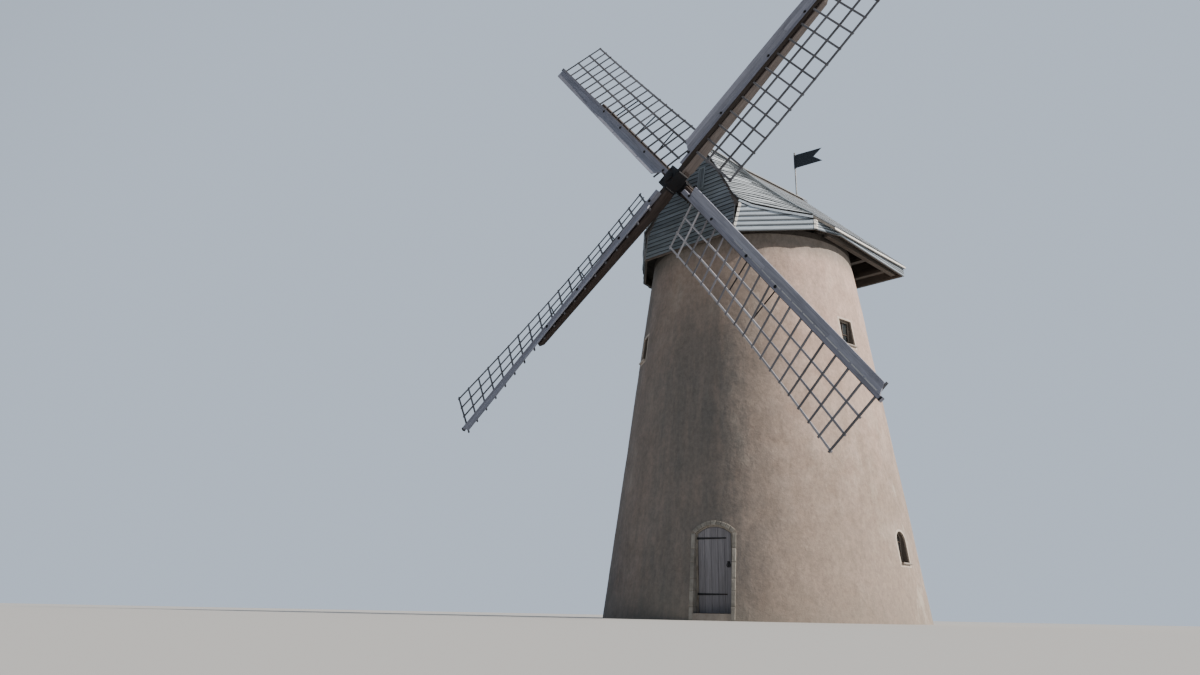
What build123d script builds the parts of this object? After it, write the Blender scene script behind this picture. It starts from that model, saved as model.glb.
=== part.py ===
from build123d import *
import math, os

# Tower windmill: round rendered stone tower, boat-shaped boarded cap that turns on a
# curb, four common sails on two crossed stocks, ledged door, swallow-tail vane.
# Millimetres. Origin on the tower axis at ground level, +Z up, -Y is the side the
# sails face, +X is on the right of a person who looks at the sails.

# ---------------------------------------------------------------- tower
BASE_R = 4129.6            # outer radius at the ground
BATTER = 0.13741           # radius lost for each mm of height
WALL_T = 600.0             # wall thickness
WALL_H = 9588.0            # top of the masonry
SEG = 45.0                 # angle of one wall segment
DOOR_AZ = 18.6             # direction of the doorway, from -Y towards +X
SLAB_T = 150.0             # ground floor
FLOOR_Z = 5588.0           # underside of the timber floor below the upper windows
FLOOR_T = 120.0
CURB_T = 180.0             # timber curb on the masonry
CURB_RO, CURB_RI = 2780.0, 2440.0

# doorway
DOOR_HW = 440.0            # half width between the jamb stones
JAMB_W = 90.0              # width of the dressed stones on the face
SPRING_Z, CROWN_Z = 1890.0, 2075.0
FRAME_W, FRAME_Y0, FRAME_Y1 = 45.0, -3790.0, -3700.0
LEAF_T, LEAF_GAP = 45.0, 8.0
PIN_X, PIN_Y, PIN_R = -391.0, -3806.0, 8.0

# windows: (azimuth, sill, head, width, arched)
UPPER = [(83.0, 6660, 7380, 490, False), (-34.5, 6660, 7380, 490, False),
         (145.5, 6660, 7380, 490, False), (-97.0, 6660, 7380, 490, False)]
LOWER = [(92.0, 1318, 2088, 470, True), (-88.0, 1318, 2088, 470, True)]
WIN_SET = 150.0            # frame set back from the face of the wall
WIN_FR = 45.0              # width of a window frame's bars
WIN_FD = 60.0              # depth of a window frame
GLASS_T = 8.0

# ---------------------------------------------------------------- cap
BOARD = 45.0               # thickness of the cap's boarded walls
LEAN = 0.174               # the front wall leans back by this much for each mm of height
FRONT_Y, SKIRT_Z = -2900.0, 9488.0
A = (1490.0, -2900.0); B = (2940.0, -1310.0); C = (3150.0, -410.0); D = (3150.0, 3150.0)
SK_BOT = [9488.0, 9640.0, 9684.0, 9605.0]
SK_TOP = [10282.0, 9900.0, 9760.0, 9850.0]
ROOF_DZ = 85.0             # vertical thickness of the boarded roof

# ---------------------------------------------------------------- sails
TILT = 9.87                # windshaft inclination, degrees
HUB = (0.0, -3623.0, 11259.0)
TH_A, TH_B = 41.32, 129.77  # direction of each stock at rest
OFF_A, OFF_B = -28.0, -334.0  # plane of each pair's whips, measured from the hub point along the shaft
# direction at rest, plane and weather curve (heel, slope, bow, degrees) of each sail
SAILS = {"upper_right": (41.32, OFF_A, (20.25, 1.9, -15.5)), "upper_left": (130.31, OFF_B, (15.1, 18.6, -13.2)),
         "lower_left": (221.32, OFF_A, (20.25, 1.9, -15.5)), "lower_right": (309.22, OFF_B, (18.55, 18.0, -27.0))}
N_BAYS, S0, BAY = 18, 968.0, 456.7
C_LONG = (522.0, 987.0, 1432.0)
C_OF = {"lower_left": (488.0, 938.0, 1425.0)}
BAR_W, BAR_T = 52.0, 30.0
LONG_W, LONG_T = 62.0, 24.0
BAR_Z = -22.0              # bars cross behind the middle of the whip
WHIP_S0, WHIP_S1 = 470.0, 9360.0
BOARD_S0, BOARD_S1 = 800.0, 9270.0
EDGE_Y = 305.0             # outer edge of the leading boards
STOCK_S = 5930.0
SHAFT_R, NECK_R, TAIL_R = 205.0, 165.0, 70.0

# ---------------------------------------------------------------- vane
POLE_Y, POLE_R, POLE_TOP = 2785.0, 22.0, 14650.0
VANE_AZ = 9.0
VANE_L, VANE_H, VANE_T = 930.0, 480.0, 8.0

os.makedirs("parts", exist_ok=True)
tau = math.radians(TILT)


def solids(*shapes):
    out = []
    for s in shapes:
        if isinstance(s, (list, tuple, ShapeList)):
            out += solids(*s)
        else:
            out += list(s.solids())
    return out


def save(name, *shapes):
    ss = solids(*shapes)
    obj = ss[0] if len(ss) == 1 else Compound(children=ss)
    obj.label = name
    export_step(obj, "parts/%s.step" % name)


def box(x0, x1, y0, y1, z0, z1):
    return Pos((x0 + x1) / 2, (y0 + y1) / 2, (z0 + z1) / 2) * Box(x1 - x0, y1 - y0, z1 - z0)


def polyhedron(v, faces):
    fs = []
    for f in faces:
        q = [Vector(*v[i]) for i in f]
        nrm = (q[1] - q[0]).cross(q[2] - q[0])
        flat = nrm.length > 1e-6 and all(abs((p - q[0]).dot(nrm.normalized())) < 1e-4 for p in q[3:])
        for t in ([q] if flat or len(q) == 3 else [[q[0], q[i], q[i + 1]] for i in range(1, len(q) - 1)]):
            fs.append(Face(Wire.make_polygon(t, close=True)))
    s = Solid(Shell(fs))
    if s.volume < 0:
        s = Solid(s.wrapped.Reversed())
    return s


def hexa(p):
    """Solid on eight corners: four of one end, then the four facing them."""
    return polyhedron(p, [(0, 3, 2, 1), (4, 5, 6, 7), (0, 1, 5, 4), (1, 2, 6, 5), (2, 3, 7, 6), (3, 0, 4, 7)])


def slab_from(grid_rows, dz):
    """Closed shell between a faceted surface, given as rows of points, and the same moved down."""
    v, idx = [], {}

    def vid(p):
        k = tuple(round(c, 3) for c in p)
        if k not in idx:
            idx[k] = len(v)
            v.append(k)
        return idx[k]
    tris = []
    for r0, r1 in zip(grid_rows, grid_rows[1:]):
        i = j = 0
        while i < len(r0) - 1 or j < len(r1) - 1:
            a, b = vid(r0[i]), vid(r1[j])
            if j < len(r1) - 1 and (i == len(r0) - 1 or (j + 1) / (len(r1) - 1) <= (i + 1) / (len(r0) - 1)):
                c = vid(r1[j + 1]); j += 1
            else:
                c = vid(r0[i + 1]); i += 1
            if len({a, b, c}) == 3:
                tris.append((a, b, c))
    n = len(v)
    low = [(p[0], p[1], p[2] - dz) for p in v]
    allv = v + low
    edges = {}
    for a, b, c in tris:
        for e in ((a, b), (b, c), (c, a)):
            k = tuple(sorted(e))
            edges.setdefault(k, []).append(e)
    faces = [t for t in tris] + [(c + n, b + n, a + n) for a, b, c in tris]
    for k, es in edges.items():
        if len(es) == 1:
            a, b = es[0]
            faces.append((b, a, a + n, b + n))
    return polyhedron(allv, faces)


def mirror_x(s):
    return mirror(s, about=Plane.YZ)


def az(shape, deg):
    return Rot(0, 0, deg) * shape


# ================================================================ tower
def rad(z):
    return BASE_R - BATTER * z


def ring_sector(a0, a1, z0, z1, ro0, ro1, ri0, ri1):
    prof = Face(Wire.make_polygon([Vector(ri0, 0, z0), Vector(ro0, 0, z0), Vector(ro1, 0, z1), Vector(ri1, 0, z1)], close=True))
    s = revolve(prof, axis=Axis.Z, revolution_arc=a1 - a0)
    return Rot(0, 0, a0 - 90) * s


def shell_sector(a0, a1, z0=0.0, z1=WALL_H):
    return ring_sector(a0, a1, z0, z1, rad(z0), rad(z1), rad(z0) - WALL_T, rad(z1) - WALL_T)


bay_hw = DOOR_HW + JAMB_W
bay = az(box(-bay_hw, bay_hw, -4400, -1500, -50, WALL_H + 50), DOOR_AZ)


def window_hole(w):
    a, z0, z1, wd, arched = w
    if arched:
        r = wd / 2
        s = box(-r, r, -4400, -1500, z0, z1 - r) + Pos(0, -2950, z1 - r) * Rot(90, 0, 0) * Cylinder(r, 2900)
    else:
        s = box(-wd / 2, wd / 2, -4400, -1500, z0, z1)
    return az(s, a)


holes = [window_hole(w) for w in UPPER + LOWER]
names = ["wall_front_right", "wall_right", "wall_back_right", "wall_back", "wall_back_left", "wall_left",
         "wall_front_left", "wall_front"]
for i, nm in enumerate(names):
    a0 = DOOR_AZ + SEG * i
    s = shell_sector(a0, a0 + SEG)
    if nm in ("wall_front_right", "wall_front"):
        s = s - bay
    for h, w in zip(holes, UPPER + LOWER):
        if a0 < w[0] % 360 < a0 + SEG or a0 < w[0] % 360 + 360 < a0 + SEG:
            s = s - h
    save(nm, s)

# doorway: jamb stones, segmental arch, wall above
ri = (DOOR_HW ** 2 + (CROWN_Z - SPRING_Z) ** 2) / (2 * (CROWN_Z - SPRING_Z))
zc = CROWN_Z - ri
ro = ri + JAMB_W


def ycyl(r, y0, y1, x=0.0, z=0.0):
    return Pos(x, (y0 + y1) / 2, z) * Rot(90, 0, 0) * Cylinder(r, y1 - y0)


core = Rot(0, 0, -DOOR_AZ) * shell_sector(DOOR_AZ - 12, DOOR_AZ + 12)
arch_out = ycyl(ro, -4400, -1500, 0, zc) & box(-bay_hw, bay_hw, -4400, -1500, SPRING_Z, 3000)
arch_in = ycyl(ri, -4400, -1500, 0, zc) & box(-DOOR_HW, DOOR_HW, -4400, -1500, SPRING_Z, 3000)
save("door_arch", az(core & (arch_out - arch_in), DOOR_AZ))
save("door_jambs", az(core & box(-bay_hw, -DOOR_HW, -4400, -1500, 0, SPRING_Z), DOOR_AZ),
     az(core & box(DOOR_HW, bay_hw, -4400, -1500, 0, SPRING_Z), DOOR_AZ))
save("wall_over_door", az((core & box(-bay_hw, bay_hw, -4400, -1500, SPRING_Z, WALL_H)) - arch_out, DOOR_AZ))
save("door_step", az(core & box(-DOOR_HW, DOOR_HW, -4400, -1500, 0, SLAB_T), DOOR_AZ))

# door frame with its pintles
f_out = box(-DOOR_HW, DOOR_HW, FRAME_Y0, FRAME_Y1, SLAB_T, SPRING_Z) + (ycyl(ri, FRAME_Y0, FRAME_Y1, 0, zc) & box(-DOOR_HW, DOOR_HW, FRAME_Y0, FRAME_Y1, SPRING_Z, 3000))
hwf = DOOR_HW - FRAME_W
rf = ri - FRAME_W
f_in = box(-hwf, hwf, FRAME_Y0 - 1, FRAME_Y1 + 1, SLAB_T - 1, SPRING_Z - 60) + (ycyl(rf, FRAME_Y0 - 1, FRAME_Y1 + 1, 0, zc) & box(-hwf, hwf, FRAME_Y0 - 1, FRAME_Y1 + 1, SPRING_Z - 61, 3000))
frame = f_out - f_in
HINGE_Z = (560.0, 1776.0)
for z in HINGE_Z:
    brk = box(PIN_X - 34, PIN_X + 13, PIN_Y - 13, FRAME_Y0, z - 62, z - 30)
    pin = Pos(PIN_X, PIN_Y, z - 4) * Cylinder(PIN_R, 56)
    frame = frame + brk + pin
save("door_frame", az(frame, DOOR_AZ))

# door leaf and its straps
hwl = hwf - LEAF_GAP
rl = rf - LEAF_GAP - 2
leaf = box(-hwl, hwl, FRAME_Y0, FRAME_Y0 + LEAF_T, SLAB_T + 8, SPRING_Z - 70) + (ycyl(rl, FRAME_Y0, FRAME_Y0 + LEAF_T, 0, zc) & box(-hwl, hwl, FRAME_Y0, FRAME_Y0 + LEAF_T, SPRING_Z - 71, 3000))
for z in HINGE_Z:
    leaf = leaf - Pos(PIN_X, PIN_Y, z - 46) * Cylinder(24, 40)
save("door_leaf", az(leaf, DOOR_AZ))
iron = []
for z in HINGE_Z:
    st = hexa([(PIN_X + 4, FRAME_Y0 - 6, z - 24), (PIN_X + 4, FRAME_Y0, z - 24), (PIN_X + 4, FRAME_Y0, z + 24), (PIN_X + 4, FRAME_Y0 - 6, z + 24),
               (280, FRAME_Y0 - 6, z - 14), (280, FRAME_Y0, z - 14), (280, FRAME_Y0, z + 14), (280, FRAME_Y0 - 6, z + 14)])
    kn = Pos(PIN_X, PIN_Y, z) * Cylinder(15, 48)
    iron.append((st + kn) - Pos(PIN_X, PIN_Y, z - 2) * Cylinder(PIN_R + 0.08, 53))
iron.append(box(295, 355, FRAME_Y0 - 6, FRAME_Y0, 1150, 1270))
save("door_ironwork", az(iron[0], DOOR_AZ), az(iron[1], DOOR_AZ), az(iron[2], DOOR_AZ))

# windows: frames and panes
frames, panes = [], []
for a, z0, z1, wd, arched in UPPER + LOWER:
    zm = (z0 + z1) / 2
    y0 = -(rad(zm) - WIN_SET)
    y1 = y0 + WIN_FD
    h = wd / 2
    if arched:
        o = box(-h, h, y0, y1, z0, z1 - h) + ycyl(h, y0, y1, 0, z1 - h)
        q = h - WIN_FR
        inn = box(-q, q, y0 - 1, y1 + 1, z0 + WIN_FR, z1 - h) + ycyl(q, y0 - 1, y1 + 1, 0, z1 - h)
        g = box(-q, q, y0 + 26, y0 + 26 + GLASS_T, z0 + WIN_FR, z1 - h) + ycyl(q, y0 + 26, y0 + 26 + GLASS_T, 0, z1 - h)
    else:
        o = box(-h, h, y0, y1, z0, z1)
        q = h - WIN_FR
        inn = box(-q, q, y0 - 1, y1 + 1, z0 + WIN_FR, z1 - WIN_FR)
        g = box(-q, q, y0 + 26, y0 + 26 + GLASS_T, z0 + WIN_FR, z1 - WIN_FR)
    frames.append(az(o - inn, a))
    panes.append(az(g, a))
save("window_frames", frames)
save("window_glass", panes)

save("ground_floor", Pos(0, 0, SLAB_T / 2) * Cone(rad(0) - WALL_T, rad(SLAB_T) - WALL_T, SLAB_T))
save("upper_floor", Pos(0, 0, FLOOR_Z + FLOOR_T / 2) * Cone(rad(FLOOR_Z) - WALL_T, rad(FLOOR_Z + FLOOR_T) - WALL_T, FLOOR_T))
save("curb_ring", Pos(0, 0, WALL_H + CURB_T / 2) * (Cylinder(CURB_RO, CURB_T) - Cylinder(CURB_RI, CURB_T + 2)))

# ================================================================ cap
CURB_TOP = WALL_H + CURB_T
SH_Z0 = CURB_TOP + 6
SH_Z1 = SH_Z0 + 300
save("sheers", box(-1275, -1025, -2600, 2950, SH_Z0, SH_Z1), box(1025, 1275, -2600, 2950, SH_Z0, SH_Z1))
outr, plates = [], []
for y in (-700, 500, 1700, 2850):
    outr += [box(1275, 3000, y - 80, y + 80, SH_Z0, SH_Z0 + 88), box(-3000, -1275, y - 80, y + 80, SH_Z0, SH_Z0 + 88)]
    outr.append(box(-1025, 1025, y - 80, y + 80, SH_Z0, SH_Z0 + 160))
save("cross_timbers", outr)
save("side_plates", box(2870, 3000, -780, 2930, SH_Z0 - 160, SH_Z0), box(-3000, -2870, -780, 2930, SH_Z0 - 160, SH_Z0))


def shaft_z(y):
    return HUB[2] - (y - HUB[1]) * math.tan(tau)


# weather beam on two posts, tail beam, bearings
wy, ty = -2330.0, 1300.0
zb = shaft_z(wy) - NECK_R - 70
save("beam_posts", box(-1270, -1030, wy - 120, wy + 120, SH_Z1, zb - 320), box(1030, 1270, wy - 120, wy + 120, SH_Z1, zb - 320))
save("weather_beam", box(-1290, 1290, wy - 150, wy + 150, zb - 320, zb))
zt = shaft_z(ty) - TAIL_R - 60
save("tail_beam", box(-1290, 1290, ty - 140, ty + 140, SH_Z1, zt))
axis_plane = Plane(origin=HUB, x_dir=(1, 0, 0), z_dir=(0, -math.cos(tau), math.sin(tau)))


def along(r, d0, d1):
    """Cylinder on the windshaft line, from d0 to d1 behind the hub."""
    return axis_plane.location * (Pos(0, 0, -(d0 + d1) / 2) * Cylinder(r, abs(d1 - d0)))


save("neck_bearing", box(-270, 270, wy - 110, wy + 110, zb, shaft_z(wy)) - along(NECK_R + 2, 600, 2400))
save("tail_bearing", box(-170, 170, ty - 110, ty + 110, zt, shaft_z(ty)) - along(TAIL_R + 2, 3800, 6000))


def on_front(x, z, off=0.0):
    """Point on the leaning front plane, moved outwards by off."""
    return (x, FRONT_Y + LEAN * (z - SKIRT_Z) - off, z)


prof = [(1478, SKIRT_Z), (1478, 10308), (1345, 10618), (1205, 10908), (1040, 11188), (755, 11668), (440, 12123), (0, 12728)]
prof = prof + [(-x, z) for x, z in reversed(prof[:-1])]
outer = [on_front(x, z) for x, z in prof]
inner = [(p[0], p[1] + BOARD, p[2]) for p in outer]
n = len(prof)
fw = polyhedron(outer + inner, [tuple(range(n)), tuple(reversed(range(n, 2 * n)))] + [(i, n + i, n + (i + 1) % n, (i + 1) % n) for i in range(n)])
save("front_wall", fw - along(195, 200, 2200))
hz0, hz1 = 11228.0, 11898.0
hp = [on_front(150, hz0), on_front(345, hz0), on_front(345, hz1), on_front(150, hz1)]
hatch = hexa([(p[0], p[1], p[2]) for p in hp] + [(p[0], p[1] - 40, p[2]) for p in hp])
save("shaft_hatch", hatch - along(200, 200, 2200))


def off_line(pts, d):
    """Plan polyline moved inwards by d, mitred at its corners."""
    out = []
    for i, p in enumerate(pts):
        ns = []
        for a, b in ((i - 1, i), (i, i + 1)):
            if a >= 0 and b < len(pts):
                dx, dy = pts[b][0] - pts[a][0], pts[b][1] - pts[a][1]
                l = math.hypot(dx, dy)
                ns.append((-dy / l, dx / l))
        if len(ns) == 1:
            ns = ns * 2
        mx, my = ns[0][0] + ns[1][0], ns[0][1] + ns[1][1]
        k = d * 2 / (mx * mx + my * my)
        out.append((p[0] + mx * k, p[1] + my * k))
    return out


plan = [A, B, C, D]
pin = off_line(plan, BOARD)
pin[0] = (A[0] - 62 * 0.0 - 10, A[1] + 52)
skirt = None
for i in range(3):
    p = []
    for (x, y), z in ((plan[i], SK_BOT[i]), (plan[i + 1], SK_BOT[i + 1]), (plan[i + 1], SK_TOP[i + 1]), (plan[i], SK_TOP[i])):
        p.append((x, y, z))
    q = []
    for (x, y), z in ((pin[i], SK_BOT[i]), (pin[i + 1], SK_BOT[i + 1]), (pin[i + 1], SK_TOP[i + 1]), (pin[i], SK_TOP[i])):
        q.append((x, y, z))
    h = hexa(p + q)
    skirt = h if skirt is None else skirt + h
# the front end of the skirt follows the lean of the front wall
lean_cut = hexa([on_front(-4000, 9000, 0), on_front(4000, 9000, 0), on_front(4000, 13500, 0), on_front(-4000, 13500, 0)]
                + [(-4000, -6000, 9000), (4000, -6000, 9000), (4000, -6000, 13500), (-4000, -6000, 13500)])
skirt = skirt - lean_cut
wall_zone = hexa([on_front(-1479, 9000, -BOARD), on_front(1479, 9000, -BOARD), on_front(1479, 13500, -BOARD), on_front(-1479, 13500, -BOARD)]
                 + [(-1479, -6000, 9000), (1479, -6000, 9000), (1479, -6000, 13500), (-1479, -6000, 13500)])
skirt = skirt - wall_zone
save("skirt_right", skirt)
save("skirt_left", mirror_x(skirt))

# roof: front verge, lower edge, hip, ridge and rear verge of the right-hand side
VF = 60.0
ridge0, ridge1 = (0.0, -270.0, 12853.0), (0.0, -2325.0 - VF, 12863.0)
verge = [ridge1] + [on_front(x, z, VF) for x, z in ((507, 12131), (820, 11676), (1109, 11178), (1271, 10912), (1412, 10635), (1614, 10418))]
hip = [ridge0, (451, -442, 12348), (1229, -744, 11568), (1877, -998, 10934), (2471, -1225, 10397), (2925, -1392, 10023)]
low = [verge[-1], (1850, -2548, 10273), (2160, -2215, 10188), (2400, -1965, 10128), (2925, -1392, 10023)]
# rows run from the verge to the hip, top to bottom
rows = []
m = len(hip)
for i in range(m):
    t = i / (m - 1)
    k = t * (len(verge) - 1)
    a = int(min(k, len(verge) - 2)); u = k - a
    v = tuple(verge[a][c] * (1 - u) + verge[a + 1][c] * u for c in range(3)) if 0 < i < m - 1 else (verge[0] if i == 0 else verge[-1])
    hpt = hip[i]
    if i == 0:
        row = [v, tuple((v[c] + hpt[c]) / 2 for c in range(3)), hpt]
    elif i == m - 1:
        row = low
    else:
        row = []
        for j in range(5):
            w = j / 4
            p = [v[c] * (1 - w) + hpt[c] * w for c in range(3)]
            bow = 4 * w * (1 - w)
            p[0] += 95 * bow * math.sin(math.pi * t)
            p[1] -= 95 * bow * math.sin(math.pi * t)
            row.append(tuple(p))
    rows.append(row)
bow_roof = slab_from(rows, ROOF_DZ)
save("bow_roof_right", bow_roof)
save("bow_roof_left", mirror_x(bow_roof))

REAR_Y = 3190.0
eave0 = (3200.0, -812.0, 9797.0)
back = [(x, REAR_Y, 13094 - 0.997 * x) for x in (0, 451, 1229, 1877, 2471, 2925, 3200)]
srows = []
for f, b in zip(hip + [eave0], back):
    srows.append([f, tuple((f[c] + b[c]) / 2 for c in range(3)), b])
side_roof = slab_from(srows, ROOF_DZ) - Pos(0, POLE_Y, 12600) * Cylinder(POLE_R + 0.5, 1400)
save("side_roof_right", side_roof)
save("side_roof_left", mirror_x(side_roof))


def ridge_piece(y0, z0, y1, z1):
    p = []
    for y, z in ((y0, z0), (y1, z1)):
        p += [(-150, y, z - 150), (0, y, z), (150, y, z - 150), (150, y, z - 118), (0, y, z + 34), (-150, y, z - 118)]
    n = 6
    return polyhedron(p, [tuple(range(n)), tuple(reversed(range(n, 2 * n)))] + [(i, n + i, n + (i + 1) % n, (i + 1) % n) for i in range(n)])


rg = ridge_piece(ridge0[1] - 0, ridge0[2] + 6, REAR_Y, 13100)
for s in (side_roof, mirror_x(side_roof), bow_roof, mirror_x(bow_roof)):
    rg = rg - s
POLE_Z = 12853 + (13094 - 12853) * (POLE_Y + 270) / (REAR_Y + 270)
rg = rg - Pos(0, POLE_Y, POLE_Z) * Cylinder(POLE_R + 0.5, 800)
save("ridge_cap", rg)

gab = [(-3100, 9605), (3100, 9605), (3100, 12999 - 0.997 * 3100), (0, 12994), (-3100, 12999 - 0.997 * 3100)]
gv = [(x, 3085, z) for x, z in gab] + [(x, 3130, z) for x, z in gab]
save("rear_wall", polyhedron(gv, [(0, 1, 2, 3, 4), (9, 8, 7, 6, 5)] + [(i, 5 + i, 5 + (i + 1) % 5, (i + 1) % 5) for i in range(5)]))

# vane: pole and banner
pole_foot = box(-90, 90, POLE_Y - 90, POLE_Y + 90, 12488, 12728)
pole = Pos(0, POLE_Y, (12488 + POLE_TOP) / 2) * Cylinder(POLE_R, POLE_TOP - 12488)
ball = Pos(0, POLE_Y, POLE_Z + 72) * Cylinder(46, 60)
collar = Pos(0, POLE_Y, POLE_TOP - 550) * Cylinder(34, 20)
knob = Pos(0, POLE_Y, POLE_TOP) * Sphere(34)
polefull = pole_foot + pole + ball + collar + knob
save("vane_pole", polefull)
vz0 = POLE_TOP - 532
sleeve = Pos(0, 0, vz0 + VANE_H / 2) * (Cylinder(POLE_R + 12, VANE_H) - Cylinder(POLE_R + 1.0, VANE_H + 2))
tail = [(30, 0), (VANE_L, 10), (VANE_L - 290, VANE_H / 2), (VANE_L, VANE_H - 10), (30, VANE_H)]
ban = polyhedron([(x, -VANE_T / 2, vz0 + z) for x, z in tail] + [(x, VANE_T / 2, vz0 + z) for x, z in tail],
                 [(0, 1, 2, 3, 4), (9, 8, 7, 6, 5)] + [(i, 5 + i, 5 + (i + 1) % 5, (i + 1) % 5) for i in range(5)])
save("vane_banner", Pos(0, POLE_Y, 0) * Rot(0, 0, VANE_AZ) * (sleeve + ban))

# ================================================================ sails
ex = Vector(1, 0, 0)
ey = Vector(0, math.sin(tau), math.cos(tau))
nn = Vector(0, -math.cos(tau), math.sin(tau))


def sail_loc(theta_deg, off):
    th = math.radians(theta_deg)
    u = ex * math.cos(th) + ey * math.sin(th)
    o = Vector(*HUB) + nn * off
    return Plane(origin=o, x_dir=u, z_dir=nn).location


def weather(s, curve):
    g = (s - S0) / (N_BAYS * BAY)
    return math.radians(curve[0] + curve[1] * g + curve[2] * g * g)


def whip_c(s):
    """Leading and driving edge of a whip."""
    k = (s - 800.0) / 8400.0
    return 45.0 + 31.0 * k, -(92.0 - 66.0 * k)


def taper(s0, s1, y0, y1, za0, za1, zb0, zb1, yb0=None, yb1=None):
    yb0 = y0 if yb0 is None else yb0
    yb1 = y1 if yb1 is None else yb1
    return hexa([(s0, y0, za0), (s0, y1, za0), (s0, y1, za1), (s0, y0, za1), (s1, yb0, zb0), (s1, yb1, zb0), (s1, yb1, zb1), (s1, yb0, zb1)])


def ribbon(stations):
    """Solid through quadrilateral sections, one list of four points a station."""
    v = [q for st in stations for q in st]
    n = len(stations)
    fc = [(0, 1, 2, 3), tuple(4 * (n - 1) + i for i in (3, 2, 1, 0))]
    for i in range(n - 1):
        for j in range(4):
            a, b = 4 * i + j, 4 * i + (j + 1) % 4
            fc += [(a, a + 4, b + 4), (a, b + 4, b)]
    return polyhedron(v, fc)


wl0, wd0 = whip_c(WHIP_S0)
wl1, wd1 = whip_c(WHIP_S1)
whip = taper(WHIP_S0, WHIP_S1, wd0, wl0, -74, 74, -44, 44, wd1, wl1)


def make_lattice(curve, longs):
    pieces = []
    for k in range(N_BAYS + 1):
        s = S0 + BAY * k
        w = math.degrees(weather(s, curve))
        pieces.append(Pos(s, 0, BAR_Z) * Rot(w, 0, 0) * box(-BAR_W / 2, BAR_W / 2, -longs[2] - 60, -10, -BAR_T / 2, BAR_T / 2))
    for c in longs:
        st = [S0 - 60] + [S0 + BAY * k for k in (3, 6, 9, 12, 15)] + [S0 + BAY * N_BAYS + 55]
        sec = []
        for s in st:
            w = weather(s, curve)
            q = []
            for dc, dz in ((-LONG_W / 2, -LONG_T / 2), (LONG_W / 2, -LONG_T / 2), (LONG_W / 2, LONG_T / 2), (-LONG_W / 2, LONG_T / 2)):
                cc = c + dc
                q.append((s, -cc * math.cos(w) - dz * math.sin(w), BAR_Z - cc * math.sin(w) + dz * math.cos(w)))
            sec.append(q)
        pieces.append(ribbon(sec))
    lat = pieces[0].fuse(*pieces[1:])
    lat = lat - whip
    return lat.solids().sort_by(SortBy.VOLUME)[-1]


def make_board(curve):
    """Leading board: its inner edge lies beside the whip, its outer edge stands out in front of the bars, more at the heel."""
    sec = []
    for s in (BOARD_S0, 2000, 3500, 5000, 6500, 8000, BOARD_S1):
        w = weather(s, curve)
        y0, z0 = whip_c(s)[0] + 10, max(34, BAR_Z + (whip_c(s)[0] + 10) * math.tan(w) + 34)
        z1 = max(edge_z(s), BAR_Z + EDGE_Y * math.tan(w) + 34)
        a = math.atan2(z1 - z0, EDGE_Y - y0)
        tx, tz = -14 * math.sin(a), 14 * math.cos(a)
        sec.append([(s, y0 - tx, z0 - tz), (s, EDGE_Y - tx, z1 - tz), (s, EDGE_Y + tx, z1 + tz), (s, y0 + tx, z0 + tz)])
    return ribbon(sec)


def edge_z(s):
    """Height of a board's outer edge in front of the whip's centre."""
    t = ((800, 170), (3000, 163), (5000, 153), (6000, 124), (7000, 100), (8000, 70), (9270, 40))
    for (a, u), (b, v) in zip(t, t[1:]):
        if s <= b:
            return u + (v - u) * (s - a) / (b - a)
    return t[-1][1]


def stock(zm, z0, z1, hw):
    """Stock: zm is its back at the crossing, z0 and z1 at the root and near the end, hw its half width near the end."""
    m = STOCK_S - 120
    st = taper(-380, 380, -130, 130, zm, -77, zm, -77)
    for r in (0, 180):
        st = st + Rot(0, 0, r) * taper(380, 500, -130, 130, zm, -77, z0, -77)
        st = st + Rot(0, 0, r) * taper(500, m, -130, 130, z0, -77, z1, -77, -hw, hw)
        st = st + Rot(0, 0, r) * taper(m, STOCK_S, -hw, hw, z1, -77, z1 + 78, -85, -hw * 0.85, hw * 0.85)
    return st


st_out = stock(-370, -402, -243, 118)
st_in = stock(-357, -357, -203, 75)
LA, LB = sail_loc(TH_A, OFF_A), sail_loc(TH_B, OFF_B)
whips, boards = [], []
for nm, (da, off, curve) in SAILS.items():
    L = sail_loc(da, off)
    lat = L * make_lattice(curve, C_OF.get(nm, C_LONG)) - (LA * st_out if off == OFF_A else LB * st_in)
    save("sail_frame_" + nm, lat.solids().sort_by(SortBy.VOLUME)[-1])
    whips.append(L * whip)
    boards.append(L * make_board(curve))
save("whips", whips)
save("leading_boards", boards)


save("stock_outer", LA * st_out)
save("stock_inner", LB * st_in)
poll = ((LA * box(-300, 300, -190, 190, -300, 85)) & along(345, -60, 440)) + ((LA * box(-150, 150, -190, 190, -440, -250)) & along(345, 100, 480))
poll = poll + ((LB * box(-262, 262, -190, 190, -440, -50)) & along(262, 380, 800)) + along(140, -95, 45) + along(190, 770, 860)
poll = (poll - LA * st_out) - LB * st_in
save("poll_end", poll)
wsh = along(NECK_R, 860, 1620) + along(SHAFT_R, 1620, 4800) + along(TAIL_R, 4800, 5220)
save("windshaft", wsh)
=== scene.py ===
import bpy, bmesh, math
import numpy as np
from mathutils import Vector, Matrix, noise


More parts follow.
